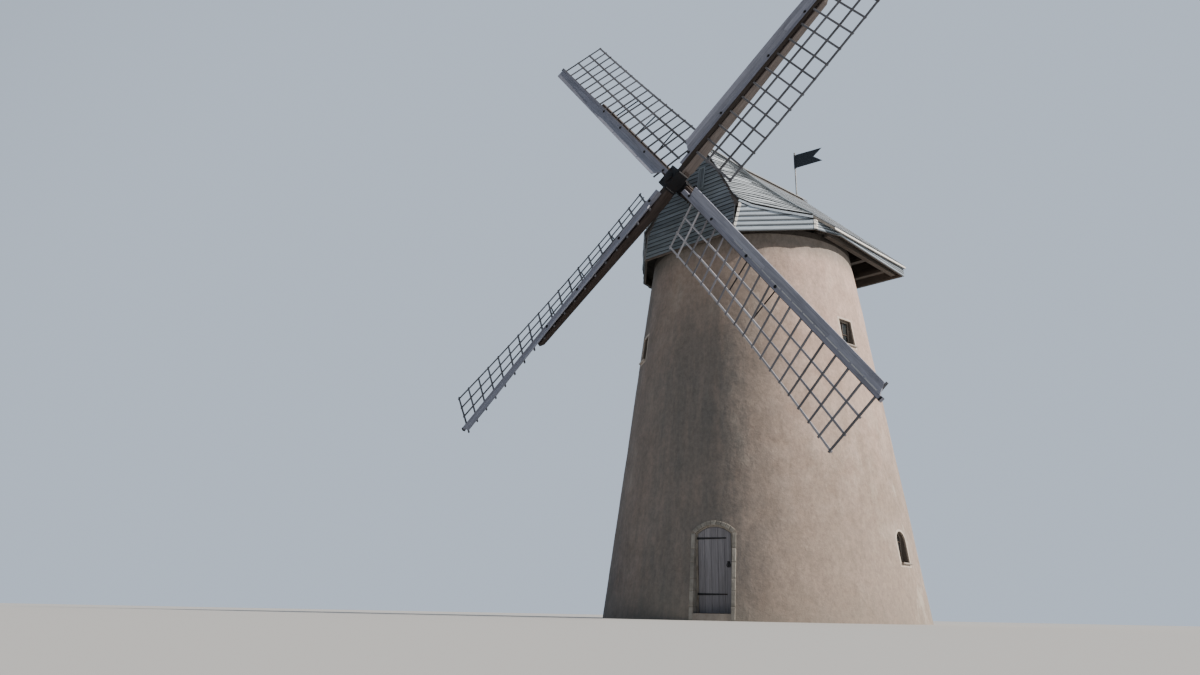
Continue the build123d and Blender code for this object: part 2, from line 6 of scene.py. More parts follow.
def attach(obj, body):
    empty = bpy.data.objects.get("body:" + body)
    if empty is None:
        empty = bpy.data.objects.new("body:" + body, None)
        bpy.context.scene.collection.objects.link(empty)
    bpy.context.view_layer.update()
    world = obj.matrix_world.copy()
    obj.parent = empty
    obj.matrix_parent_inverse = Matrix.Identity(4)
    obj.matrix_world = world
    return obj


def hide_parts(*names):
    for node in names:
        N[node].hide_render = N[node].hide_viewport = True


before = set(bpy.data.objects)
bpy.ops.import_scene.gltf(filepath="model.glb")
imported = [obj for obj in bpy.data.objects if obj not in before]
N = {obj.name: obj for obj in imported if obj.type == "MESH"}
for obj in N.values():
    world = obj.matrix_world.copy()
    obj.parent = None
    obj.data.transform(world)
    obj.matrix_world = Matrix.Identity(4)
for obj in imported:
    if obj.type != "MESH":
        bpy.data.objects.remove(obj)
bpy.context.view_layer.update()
rng = np.random.default_rng(11)

# ------------------------------------------------------------------ sizes, as in the model (m)
BASE_R, BATTER, WALL_T, WALL_H = 4.1296, 0.13741, 0.600, 9.588
DOOR_AZ, DOOR_HW, JAMB_W = 18.6, 0.440, 0.090
SPRING_Z, CROWN_Z, SLAB_T = 1.890, 2.075, 0.150
FRAME_W, FRAME_Y0, FRAME_Y1, LEAF_T = 0.045, -3.790, -3.700, 0.045
PIN_X, PIN_Y, PIN_R = -0.391, -3.806, 0.008
HINGE_Z = (0.560, 1.776)
UPPER = [(83.0, 6.660, 7.380, 0.490, False), (-34.5, 6.660, 7.380, 0.490, False),
         (145.5, 6.660, 7.380, 0.490, False), (-97.0, 6.660, 7.380, 0.490, False)]
LOWER = [(92.0, 1.318, 2.088, 0.470, True), (-88.0, 1.318, 2.088, 0.470, True)]
WIN_SET, WIN_FR, WIN_FD = 0.150, 0.045, 0.060
LEAN, FRONT_Y, SKIRT_Z = 0.174, -2.900, 9.488
TILT = math.radians(9.87)
HUB = Vector((0.0, -3.623, 11.259))
TH_A, TH_B = 41.32, 129.77
OFF_A, OFF_B = -0.028, -0.334
SAILS = {"ur": (41.32, OFF_A, (20.25, 1.9, -15.5)), "ul": (130.31, OFF_B, (15.1, 18.6, -13.2)),
         "ll": (221.32, OFF_A, (20.25, 1.9, -15.5)), "lr": (309.22, OFF_B, (18.55, 18.0, -27.0))}
N_BAYS, S0, BAY = 18, 0.968, 0.4567
C_LONG = (0.522, 0.987, 1.432)
C_OF = {"ll": (0.488, 0.938, 1.425)}
# height of a board's outer edge in front of the whip's centre
EDGE_Z = ((0.8, 3.0, 5.0, 6.0, 7.0, 8.0, 9.27), (0.170, 0.163, 0.153, 0.124, 0.100, 0.070, 0.040))
BAR_Z = -0.022
WHIP_S0, WHIP_S1, STOCK_S = 0.470, 9.360, 5.930
BOARD_S0, BOARD_S1, EDGE_Y = 0.800, 9.270, 0.305


def rad(z):
    return BASE_R - BATTER * z


# ------------------------------------------------------------------ camera
def make_camera():
    f, pitch, roll, yaw, psi = 875.36, 0.30633, 0.019469, -0.181013, -0.595466
    fw = Vector((math.sin(yaw) * math.cos(pitch), math.cos(yaw) * math.cos(pitch), math.sin(pitch)))
    rt = Vector((math.cos(yaw), -math.sin(yaw), 0))
    up = rt.cross(fw)
    rt2 = math.cos(roll) * rt + math.sin(roll) * up
    up2 = rt2.cross(fw)
    m = Matrix(((math.cos(psi), math.sin(psi), 0), (-math.sin(psi), math.cos(psi), 0), (0, 0, 1)))
    rt2, up2, fw = m @ rt2, m @ up2, m @ fw
    data = bpy.data.cameras.new("camera")
    cam = bpy.data.objects.new("camera", data)
    bpy.context.scene.collection.objects.link(cam)
    data.sensor_width = 36.0
    data.sensor_fit = "HORIZONTAL"
    data.lens = f / 1200 * 36.0
    data.clip_start, data.clip_end = 0.05, 2000
    rot = Matrix((rt2, up2, -fw)).transposed()
    cam.matrix_world = Matrix.Translation((13.459, -19.872, 0.0876)) @ rot.to_4x4()
    bpy.context.scene.camera = cam
    return cam


cam = make_camera()

# ------------------------------------------------------------------ floor and light
floor = bpy.data.meshes.new("floor")
floor.from_pydata([(-300, -300, 0), (300, -300, 0), (300, 300, 0), (-300, 300, 0)], [], [(0, 1, 2, 3)])
fo = bpy.data.objects.new("floor", floor)
bpy.context.scene.collection.objects.link(fo)
fm = bpy.data.materials.new("floor")
fm.use_nodes = True
fm.node_tree.nodes["Principled BSDF"].inputs["Base Color"].default_value = (0.46, 0.455, 0.44, 1)
fm.node_tree.nodes["Principled BSDF"].inputs["Roughness"].default_value = 0.9
floor.materials.append(fm)

world = bpy.data.worlds.new("studio")
bpy.context.scene.world = world
world.use_nodes = True
bg = world.node_tree.nodes["Background"]
bg.inputs["Color"].default_value = (0.70, 0.82, 0.98, 1)
# the backdrop behind the mill is brighter than the rest of the room
wt = world.node_tree
wc = wt.nodes.new("ShaderNodeTexCoord")
wd = wt.nodes.new("ShaderNodeVectorMath")
wd.operation = "DOT_PRODUCT"
wd.inputs[1].default_value = (-0.561, 0.828, 0.0)
wr = wt.nodes.new("ShaderNodeMapRange")
wr.interpolation_type = "SMOOTHSTEP"
for k, x in zip(("From Min", "From Max", "To Min", "To Max"), (-0.10, 0.75, 0.26, 0.80)):
    wr.inputs[k].default_value = x
wt.links.new(wc.outputs["Generated"], wd.inputs[0])
wt.links.new(wd.outputs["Value"], wr.inputs["Value"])
wt.links.new(wr.outputs["Result"], bg.inputs["Strength"])


def sun(name, direction, strength, angle, color):
    l = bpy.data.lights.new(name, "SUN")
    l.energy, l.angle, l.color = strength, math.radians(angle), color
    o = bpy.data.objects.new(name, l)
    o.rotation_mode = "QUATERNION"
    o.rotation_quaternion = Vector(direction).to_track_quat("-Z", "Y")
    bpy.context.scene.collection.objects.link(o)


# light travels along these directions
sun("key", (-0.746, -0.346, -0.569), 6.6, 1.0, (1.0, 0.92, 0.83))

# ------------------------------------------------------------------ node materials
class Mat:
    def __init__(self, name, rough=0.8):
        self.m = bpy.data.materials.new(name)
        self.m.use_nodes = True
        self.t = self.m.node_tree
        self.b = self.t.nodes["Principled BSDF"]
        self.b.inputs["Roughness"].default_value = rough

    def n(self, kind, **kw):
        node = self.t.nodes.new("ShaderNode" + kind)
        for k, v in kw.items():
            setattr(node, k, v)
        return node

    def put(self, sock, v):
        if isinstance(v, bpy.types.NodeSocket):
            self.t.links.new(v, sock)
        elif isinstance(v, (tuple, list)) and sock.type == "RGBA" and len(v) == 3:
            sock.default_value = (*v, 1)
        else:
            sock.default_value = v

    def attr(self, name, out="Vector"):
        a = self.n("Attribute", attribute_type="GEOMETRY", attribute_name=name)
        return a.outputs[out]

    def obj(self):
        return self.n("TexCoord").outputs["Object"]

    def map(self, vec, scale=(1, 1, 1), loc=(0, 0, 0), rot=(0, 0, 0)):
        q = self.n("Mapping")
        self.put(q.inputs["Vector"], vec)
        q.inputs["Scale"].default_value = scale
        q.inputs["Location"].default_value = loc
        q.inputs["Rotation"].default_value = rot
        return q.outputs["Vector"]

    def noise(self, vec, scale=1.0, detail=4.0, rough=0.55, dist=0.0, lac=2.0):
        q = self.n("TexNoise")
        self.put(q.inputs["Vector"], vec)
        q.inputs["Scale"].default_value = scale
        q.inputs["Detail"].default_value = detail
        q.inputs["Roughness"].default_value = rough
        q.inputs["Distortion"].default_value = dist
        q.inputs["Lacunarity"].default_value = lac
        return q.outputs["Fac"]

    def vor(self, vec, scale=1.0, feature="F1", out="Distance", rnd=1.0):
        q = self.n("TexVoronoi", feature=feature)
        self.put(q.inputs["Vector"], vec)
        q.inputs["Scale"].default_value = scale
        q.inputs["Randomness"].default_value = rnd
        return q.outputs[out]

    def ramp(self, fac, stops, interp="LINEAR"):
        q = self.n("ValToRGB")
        q.color_ramp.interpolation = interp
        e = q.color_ramp.elements
        while len(e) < len(stops):
            e.new(0.5)
        for el, (p, c) in zip(e, stops):
            el.position = p
            el.color = (*c, 1) if isinstance(c, (tuple, list)) else (c, c, c, 1)
        self.put(q.inputs["Fac"], fac)
        return q.outputs["Color"]

    def rng(self, v, a, b, c=0.0, d=1.0):
        q = self.n("MapRange")
        self.put(q.inputs["Value"], v)
        for k, x in zip(("From Min", "From Max", "To Min", "To Max"), (a, b, c, d)):
            q.inputs[k].default_value = x
        return q.outputs["Result"]

    def mix(self, fac, a, b, blend="MIX"):
        q = self.n("Mix", data_type="RGBA", blend_type=blend)
        q.clamp_factor = True
        self.put(q.inputs[0], fac)
        self.put(q.inputs[6], a)
        self.put(q.inputs[7], b)
        return q.outputs[2]

    def math(self, op, a, b=0.0, c=None, clamp=False):
        q = self.n("Math", operation=op, use_clamp=clamp)
        self.put(q.inputs[0], a)
        self.put(q.inputs[1], b)
        if c is not None:
            self.put(q.inputs[2], c)
        return q.outputs[0]

    def sep(self, vec):
        q = self.n("SeparateXYZ")
        self.put(q.inputs[0], vec)
        return q.outputs

    def bump(self, h, strength=0.5, dist=0.01, normal=None):
        q = self.n("Bump")
        self.put(q.inputs["Height"], h)
        q.inputs["Strength"].default_value = strength
        q.inputs["Distance"].default_value = dist
        if normal is not None:
            self.put(q.inputs["Normal"], normal)
        return q.outputs["Normal"]

    def out(self, color=None, rough=None, normal=None):
        if color is not None:
            self.put(self.b.inputs["Base Color"], color)
        if rough is not None:
            self.put(self.b.inputs["Roughness"], rough)
        if normal is not None:
            self.put(self.b.inputs["Normal"], normal)
        return self.m


def wood(name, dark, mid, light, tone=0.35, grain=1.0, stain=(0.05, 0.045, 0.04), stain_amt=0.5, rough=0.82, moss=0.0, attr=True, axis=0, crack=0.5, line=0.0, line_w=0.016, right=0.0):
    """Weathered timber: grain along the first grain coordinate, tone differs from board to board."""
    m = Mat(name, rough)
    if attr:
        g = m.attr("grain")
        t = m.attr("tone", "Fac")
    else:
        rot = (0, 0, 0) if axis == 0 else ((0, 0, math.pi / 2) if axis == 1 else (0, math.pi / 2, 0))
        g = m.map(m.obj(), rot=rot)
        t = m.noise(m.obj(), 1.3, 1)
    fine = m.noise(m.map(g, (1.6, 46 * grain, 46 * grain)), 1.0, 6, 0.62, 0.6)
    wide = m.noise(m.map(g, (0.5, 9 * grain, 9 * grain)), 1.0, 4, 0.6, 1.2)
    blot = m.noise(m.map(g, (1.1, 2.6, 2.6), (3, 1, 7)), 1.0, 5, 0.6)
    c = m.ramp(m.math("ADD", m.math("MULTIPLY", fine, 0.6), m.math("MULTIPLY", wide, 0.4)), [(0.30, dark), (0.52, mid), (0.72, light)])
    tn = m.n("HueSaturation")
    m.put(tn.inputs["Color"], c)
    m.put(tn.inputs["Value"], m.rng(t, 0, 1, 1 - tone, 1 + tone))
    c = tn.outputs["Color"]
    c = m.mix(m.math("MULTIPLY", m.rng(blot, 0.52, 0.74), stain_amt), c, stain)
    ck = m.noise(m.map(g, (2.2, 95 * grain, 95 * grain), (5, 5, 5)), 1.0, 3, 0.5, 0.3)
    ckm = m.rng(ck, 0.36, 0.27)
    c = m.mix(m.math("MULTIPLY", ckm, crack), c, tuple(x * 0.35 for x in dark))
    if moss:
        ms = m.rng(m.noise(m.obj(), 1.7, 6, 0.65), 0.55, 0.72)
        c = m.mix(m.math("MULTIPLY", ms, moss), c, (0.10, 0.105, 0.045))
    if line:
        # painted shade at each lap, with some dirt: a dark line along the lower edge of each board
        lw = m.math("ADD", m.attr("edge", "Fac"), m.rng(wide, 0.3, 0.7, 0.006, -0.006))
        c = m.mix(m.rng(lw, line_w * 1.5, line_w * 0.6, 0.0, line), c, tuple(x * 0.22 for x in dark))
    if right:
        # boards made lighter towards the right-hand side
        c = m.mix(m.rng(m.sep(m.obj())[0], 0.2, 1.0), c, (1 + right,) * 3, "MULTIPLY")
    h = m.math("SUBTRACT", m.math("ADD", fine, m.math("MULTIPLY", wide, 0.5)), m.math("MULTIPLY", ckm, 0.9))
    nrm = m.bump(h, 0.45, 0.004)
    r = m.rng(fine, 0.3, 0.7, rough + 0.08, rough - 0.08)
    return m.out(c, r, nrm)


def iron(name, base=(0.018, 0.019, 0.022), rust=0.25, rough=0.48):
    m = Mat(name, rough)
    o = m.obj()
    a = m.noise(o, 9, 6, 0.6)
    b = m.noise(o, 60, 4, 0.6)
    c = m.mix(m.rng(b, 0.3, 0.7), base, tuple(x * 1.9 for x in base))
    c = m.mix(m.math("MULTIPLY", m.rng(a, 0.56, 0.70), rust), c, (0.12, 0.052, 0.026))
    m.b.inputs["Metallic"].default_value = 0.55
    return m.out(c, m.rng(a, 0.3, 0.7, rough - 0.1, rough + 0.22), m.bump(m.math("ADD", b, m.math("MULTIPLY", a, 1.5)), 0.35, 0.004))


def make_render():
    """Lime render on the tower: tan, streaked and blotched, damp on one side, with painted shade on the shaded side,
    under the cap and in the reveals, painted sunlight high on the sunlit side, and a lumpy trowelled surface.
    """
    m = Mat("tower_render", 0.92)
    o = m.obj()
    xyz = m.sep(o)
    big = m.noise(o, 0.42, 5, 0.6, 0.4)
    mid = m.noise(o, 1.7, 6, 0.62, 0.2)
    fine = m.noise(o, 14, 8, 0.66)
    grit = m.noise(o, 120, 5, 0.6)
    c = m.ramp(mid, [(0.28, (0.290, 0.220, 0.178)), (0.50, (0.365, 0.285, 0.238)), (0.72, (0.435, 0.350, 0.300))])
    c = m.mix(m.rng(big, 0.42, 0.66, 0, 0.8), c, (0.350, 0.278, 0.232))
    # pale worn patches
    pale = m.rng(m.noise(m.map(o, (1, 1, 0.6), (9, 2, 4)), 1.1, 7, 0.66), 0.56, 0.70)
    c = m.mix(m.math("MULTIPLY", pale, 0.38), c, (0.52, 0.455, 0.385))
    # vertical run-off streaks, stronger towards the cap
    st = m.noise(m.map(o, (3.4, 3.4, 0.22)), 1.0, 6, 0.62, 0.3)
    st2 = m.noise(m.map(o, (9.0, 9.0, 0.35), (4, 4, 1)), 1.0, 4, 0.6, 0.2)
    both = m.math("ADD", m.math("MULTIPLY", st, 0.65), m.math("MULTIPLY", st2, 0.35))
    top = m.rng(xyz[2], 5.0, 9.6, 0.22, 0.8)
    sk = m.math("MULTIPLY", m.rng(both, 0.46, 0.64), top)
    c = m.mix(m.math("MULTIPLY", sk, 0.45), c, (0.200, 0.165, 0.138))
    # damp stain with streaks running down it, its upper end ragged, partly painted shade darkening the render just
    # inside the shaded side
    ang = m.math("ARCTAN2", xyz[0], m.math("MULTIPLY", xyz[1], -1.0))
    a2 = m.math("ADD", ang, m.rng(m.noise(o, 0.8, 6, 0.65, 0.5), 0.3, 0.7, -0.12, 0.12))
    band = m.math("MULTIPLY", m.rng(a2, -0.52, -0.10), m.rng(a2, 0.80, 0.36))
    hgt = m.math("ADD", xyz[2], m.rng(both, 0.35, 0.65, -1.3, 1.3))
    band = m.math("MULTIPLY", band, m.rng(hgt, 8.6, 6.4))
    band = m.math("MULTIPLY", band, m.rng(both, 0.36, 0.60, 0.62, 1.0))
    c = m.mix(m.math("MULTIPLY", band, 0.80), c, (0.122, 0.127, 0.126))
    # painted shade darkens the shaded side further, in streaks; painted sunlight makes the sunlit side paler high up,
    # stopping at the cap's shadow; lower down the sunlit side is a little darker
    back = m.math("MULTIPLY", m.rng(ang, 3.0, 2.0), m.rng(ang, -3.0, -2.0))
    left = m.math("MULTIPLY", m.math("MULTIPLY", m.rng(a2, -0.16, -0.62), m.rng(both, 0.36, 0.62, 0.75, 1.0)), back)
    c = m.mix(left, c, (0.44, 0.49, 0.545), "MULTIPLY")
    sun = m.math("MULTIPLY", m.math("MULTIPLY", m.rng(ang, 0.62, 1.02), m.rng(hgt, 3.2, 7.6)), m.math("MULTIPLY", m.rng(xyz[2], 9.35, 8.85), back))
    c = m.mix(sun, c, (1.42, 1.32, 1.34), "MULTIPLY")
    # painted shade under the cap, round the top of the wall
    c = m.mix(m.rng(xyz[2], 8.95, 9.35), c, (0.74, 0.82, 0.86), "MULTIPLY")
    low = m.math("MULTIPLY", m.math("MULTIPLY", m.rng(ang, 0.45, 0.80), m.rng(hgt, 4.2, 2.0)), back)
    c = m.mix(low, c, (0.93, 0.93, 0.93), "MULTIPLY")
    # mottled face
    mt = m.noise(m.map(o, (1, 1, 0.78), (3, 8, 1)), 10.0, 8, 0.76)
    c = m.mix(m.rng(mt, 0.52, 0.36, 0, 0.75), c, (0.76, 0.77, 0.78), "MULTIPLY")
    c = m.mix(m.rng(mt, 0.50, 0.64, 0, 0.8), c, (1.18, 1.16, 1.15), "MULTIPLY")
    # lichen on the shaded side
    dm = m.math("MULTIPLY", m.math("MULTIPLY", m.rng(ang, -0.2, -1.2), m.rng(m.noise(o, 2.3, 6, 0.7), 0.48, 0.68)), back)
    c = m.mix(m.math("MULTIPLY", dm, 0.30), c, (0.105, 0.098, 0.066))
    # bare pitted patches, where the render has weathered off
    bp = m.math("MULTIPLY", m.rng(m.noise(m.map(o, (1, 1, 0.5), (2, 7, 3)), 1.6, 7, 0.7), 0.54, 0.62), m.math("MULTIPLY", m.math("MULTIPLY", m.rng(ang, 1.45, 1.72), m.rng(xyz[2], 5.6, 4.2)), back))
    c = m.mix(m.math("MULTIPLY", bp, 0.6), c, (0.55, 0.49, 0.42))
    # pale worn rims round the windows; painted shade in the reveals
    rims = None
    for wa, wz0, wz1, ww, arched in UPPER + LOWER:
        ca, sa = math.cos(math.radians(wa)), math.sin(math.radians(wa))
        u = m.math("ABSOLUTE", m.math("ADD", m.math("MULTIPLY", xyz[0], ca), m.math("MULTIPLY", xyz[1], sa)))
        v = m.math("ADD", m.math("MULTIPLY", xyz[0], -sa), m.math("MULTIPLY", xyz[1], ca))
        du = m.math("SUBTRACT", u, ww / 2)
        if arched:
            zc = wz1 - ww / 2
            dz = m.math("MAXIMUM", m.math("SUBTRACT", xyz[2], zc), 0.0)
            du = m.math("SUBTRACT", m.math("SQRT", m.math("ADD", m.math("MULTIPLY", u, u), m.math("MULTIPLY", dz, dz))), ww / 2)
            d = m.math("MAXIMUM", du, m.math("SUBTRACT", wz0, xyz[2]))
        else:
            d = m.math("MAXIMUM", du, m.math("SUBTRACT", m.math("ABSOLUTE", m.math("SUBTRACT", xyz[2], (wz0 + wz1) / 2)), (wz1 - wz0) / 2))
        d = m.math("ADD", d, m.rng(fine, 0.3, 0.7, -0.012, 0.012))
        k = m.math("MULTIPLY", m.rng(d, 0.060, 0.040), m.rng(v, -2.0, -2.2))
        rims = k if rims is None else m.math("MAXIMUM", rims, k)
    c = m.mix(m.math("MULTIPLY", rims, 0.75), c, (0.60, 0.53, 0.46))
    # painted shade: the render darkened inside the reveals of the windows and door
    rr = m.math("SQRT", m.math("ADD", m.math("MULTIPLY", xyz[0], xyz[0]), m.math("MULTIPLY", xyz[1], xyz[1])))
    dp = m.math("SUBTRACT", m.math("SUBTRACT", BASE_R, m.math("MULTIPLY", xyz[2], BATTER)), rr)
    rv = m.math("MULTIPLY", m.rng(dp, 0.025, 0.060), m.rng(dp, 0.585, 0.52))
    c = m.mix(m.math("MULTIPLY", rv, 0.85), c, (0.075, 0.060, 0.050))
    # splash band at the foot
    foot = m.math("MULTIPLY", m.rng(xyz[2], 0.9, 0.0), m.rng(mid, 0.35, 0.65, 0.3, 1.0))
    c = m.mix(m.math("MULTIPLY", foot, 0.5), c, (0.20, 0.185, 0.155))
    # speckle
    c = m.mix(m.rng(grit, 0.62, 0.72, 0, 0.35), c, (0.60, 0.53, 0.45))
    c = m.mix(m.rng(m.noise(o, 70, 4, 0.6), 0.36, 0.28, 0, 0.4), c, (0.10, 0.085, 0.07))
    h = m.math("ADD", m.math("MULTIPLY", fine, 0.9), m.math("MULTIPLY", grit, 0.22))
    h2 = m.math("ADD", m.math("MULTIPLY", mid, 1.0), m.math("ADD", m.math("MULTIPLY", pale, 0.25), m.math("MULTIPLY", bp, -0.5)))
    nrm = m.bump(h2, 0.55, 0.05)
    nrm = m.bump(h, 0.6, 0.012, nrm)
    return m.out(c, m.rng(fine, 0.3, 0.7, 0.97, 0.84), nrm)


def stone(name, a, b, dirt=(0.10, 0.09, 0.075), rough=0.88):
    m = Mat(name, rough)
    o = m.obj()
    t = m.attr("tone", "Fac")
    n1 = m.noise(o, 6, 6, 0.6)
    n2 = m.noise(o, 55, 6, 0.65)
    c = m.mix(m.rng(n1, 0.35, 0.65), a, b)
    q = m.n("HueSaturation")
    m.put(q.inputs["Color"], c)
    m.put(q.inputs["Value"], m.rng(t, 0, 1, 0.78, 1.2))
    c = m.mix(m.math("MULTIPLY", m.rng(n2, 0.60, 0.72), 0.5), q.outputs["Color"], dirt)
    c = m.mix(m.math("MULTIPLY", m.rng(m.noise(o, 2.4, 5, 0.6), 0.5, 0.7), 0.45), c, dirt)
    return m.out(c, None, m.bump(m.math("ADD", n2, m.math("MULTIPLY", n1, 0.6)), 0.55, 0.008))


def paint(name, col, worn, amt=0.5, rough=0.6):
    m = Mat(name, rough)
    o = m.obj()
    w = m.rng(m.noise(m.map(o, (22, 22, 5)), 1.0, 7, 0.68), 0.50, 0.60)
    c = m.mix(m.math("MULTIPLY", w, amt), col, worn)
    c = m.mix(m.rng(m.noise(o, 3, 5, 0.6), 0.45, 0.75, 0, 0.35), c, tuple(x * 0.5 for x in col))
    return m.out(c, None, m.bump(w, 0.4, 0.002))


def make_glass():
    m = Mat("window_glass", 0.06)
    o = m.obj()
    m.b.inputs["Base Color"].default_value = (0.035, 0.045, 0.05, 1)
    m.b.inputs["IOR"].default_value = 1.5
    m.b.inputs["Specular IOR Level"].default_value = 0.8
    d = m.noise(o, 5, 4, 0.6)
    c = m.mix(m.rng(d, 0.45, 0.75, 0, 0.35), (0.030, 0.038, 0.043), (0.12, 0.12, 0.11))
    return m.out(c, m.rng(d, 0.4, 0.8, 0.05, 0.30), m.bump(m.noise(o, 2.2, 2, 0.5), 0.15, 0.004))


def brass_mat():
    m = Mat("bearing_brass", 0.38)
    o = m.obj()
    m.b.inputs["Metallic"].default_value = 1.0
    n1 = m.noise(o, 18, 5, 0.6)
    return m.out(m.mix(m.rng(n1, 0.4, 0.65), (0.48, 0.33, 0.13), (0.16, 0.11, 0.06)), m.rng(n1, 0.3, 0.7, 0.3, 0.6), m.bump(n1, 0.2, 0.002))


MAT = {
    "render": make_render(),
    "stone": stone("dressed_stone", (0.36, 0.315, 0.275), (0.47, 0.42, 0.375)),
    "archstone": stone("doorway_stone", (0.235, 0.222, 0.198), (0.33, 0.315, 0.285)),
    "mortar": stone("stone_mortar", (0.27, 0.235, 0.20), (0.34, 0.30, 0.26)),
    "flag": stone("floor_flags", (0.27, 0.25, 0.22), (0.36, 0.33, 0.29)),
    "cap": wood("cap_weatherboards", (0.17, 0.175, 0.18), (0.29, 0.30, 0.31), (0.42, 0.43, 0.44), tone=0.30, stain_amt=0.45, moss=0.12, line=0.85),
    "front": wood("front_weatherboards", (0.145, 0.172, 0.192), (0.238, 0.282, 0.320), (0.350, 0.405, 0.450), right=0.15, tone=0.28, stain_amt=0.5, moss=0.15, line=0.95),
    "cheek": wood("bow_weatherboards", (0.31, 0.345, 0.38), (0.54, 0.605, 0.665), (0.70, 0.765, 0.83), tone=0.26, stain_amt=0.35, moss=0.04, line=0.95, line_w=0.021),
    "roofside": wood("side_roof_boards", (0.16, 0.18, 0.205), (0.27, 0.305, 0.345), (0.39, 0.435, 0.485), tone=0.16, stain_amt=0.35, moss=0.05, line=0.9, line_w=0.026),
    "skirt": wood("skirt_boards", (0.30, 0.36, 0.42), (0.46, 0.545, 0.64), (0.60, 0.69, 0.79), tone=0.10, stain_amt=0.25, line=0.97, line_w=0.038),
    "closer": wood("verge_closer", (0.085, 0.075, 0.068), (0.15, 0.135, 0.125), (0.22, 0.20, 0.185), tone=0.2, attr=False, axis=0),
    # painted light: a half-lit copy of the lath colour, for the lower-right sail
    "painted_midlit_lath": wood("painted_midlit_laths", (0.13, 0.13, 0.15), (0.22, 0.22, 0.25), (0.32, 0.32, 0.355), tone=0.25, stain_amt=0.35),
    "capbrown": wood("foot_board", (0.070, 0.055, 0.045), (0.13, 0.105, 0.090), (0.20, 0.17, 0.15), tone=0.2),
    # near-black colour for the driving side face of the whips
    "dark_whip_side": wood("whip_sides", (0.016, 0.012, 0.011), (0.034, 0.026, 0.023), (0.060, 0.048, 0.043), tone=0.15, stain_amt=0.2),
    "capdark": wood("cap_timber", (0.040, 0.034, 0.030), (0.075, 0.064, 0.055), (0.12, 0.105, 0.092), attr=False),
    "capdark_x": wood("cap_timber_x", (0.040, 0.034, 0.030), (0.075, 0.064, 0.055), (0.12, 0.105, 0.092), attr=False, axis=1),
    "soffit": wood("roof_underside", (0.035, 0.033, 0.031), (0.07, 0.066, 0.062), (0.105, 0.10, 0.095), attr=False, axis=1, grain=0.6),
    "sail": wood("sail_timber", (0.15, 0.155, 0.20), (0.26, 0.27, 0.34), (0.375, 0.385, 0.46), tone=0.22, stain_amt=0.30),
    "board": wood("leading_boards", (0.175, 0.185, 0.235), (0.29, 0.305, 0.38), (0.40, 0.42, 0.50), tone=0.16, stain_amt=0.25),
    "lath": wood("sail_laths", (0.075, 0.076, 0.088), (0.135, 0.137, 0.155), (0.22, 0.222, 0.245), tone=0.32, stain_amt=0.35),
    # painted light: a lit copy of the lath colour, for the lower-right sail
    "painted_lit_lath": wood("painted_lit_laths", (0.26, 0.26, 0.29), (0.42, 0.42, 0.46), (0.56, 0.56, 0.60), tone=0.22, stain_amt=0.35),
    # painted light: a lighter brown for the sunlit side face of the stock
    "lit_stock_side": wood("stock_side_painted_light", (0.10, 0.085, 0.078), (0.185, 0.155, 0.145), (0.27, 0.23, 0.215), tone=0.15, stain_amt=0.35),
    "fillet": wood("fillets", (0.30, 0.31, 0.33), (0.45, 0.46, 0.48), (0.58, 0.59, 0.61), tone=0.25, stain_amt=0.2),
    "stock": wood("stock_timber", (0.028, 0.020, 0.018), (0.062, 0.045, 0.040), (0.115, 0.090, 0.082), tone=0.15, stain_amt=0.3, rough=0.72, crack=0.8),
    "iron": iron("black_iron"),
    "shaft": iron("shaft_iron", (0.035, 0.033, 0.032), 0.45, 0.55),
    "brass": brass_mat(),
    "frame": paint("frame_paint", (0.30, 0.27, 0.235), (0.12, 0.09, 0.07)),
    "bars": paint("bar_paint", (0.085, 0.060, 0.045), (0.14, 0.10, 0.08)),
    "door": wood("door_boards", (0.155, 0.15, 0.17), (0.235, 0.23, 0.255), (0.32, 0.315, 0.34), tone=0.14, stain_amt=0.25),
    "glass": make_glass(),
    "floorb": wood("floor_boards", (0.10, 0.075, 0.05), (0.19, 0.145, 0.10), (0.28, 0.22, 0.16), attr=False),
    "vane": paint("vane_paint", (0.026, 0.036, 0.050), (0.07, 0.08, 0.09), 0.3, 0.55),
    "pole": iron("vane_pole", (0.20, 0.205, 0.21), 0.15, 0.55),
    # painted sunlight: white for board ends and fascia on the cap's sunlit side
    "painted_sunlit_white": wood("painted_sunlit_board_ends", (0.62, 0.62, 0.59), (0.80, 0.80, 0.77), (0.86, 0.86, 0.84), tone=0.06, stain_amt=0.15),
}


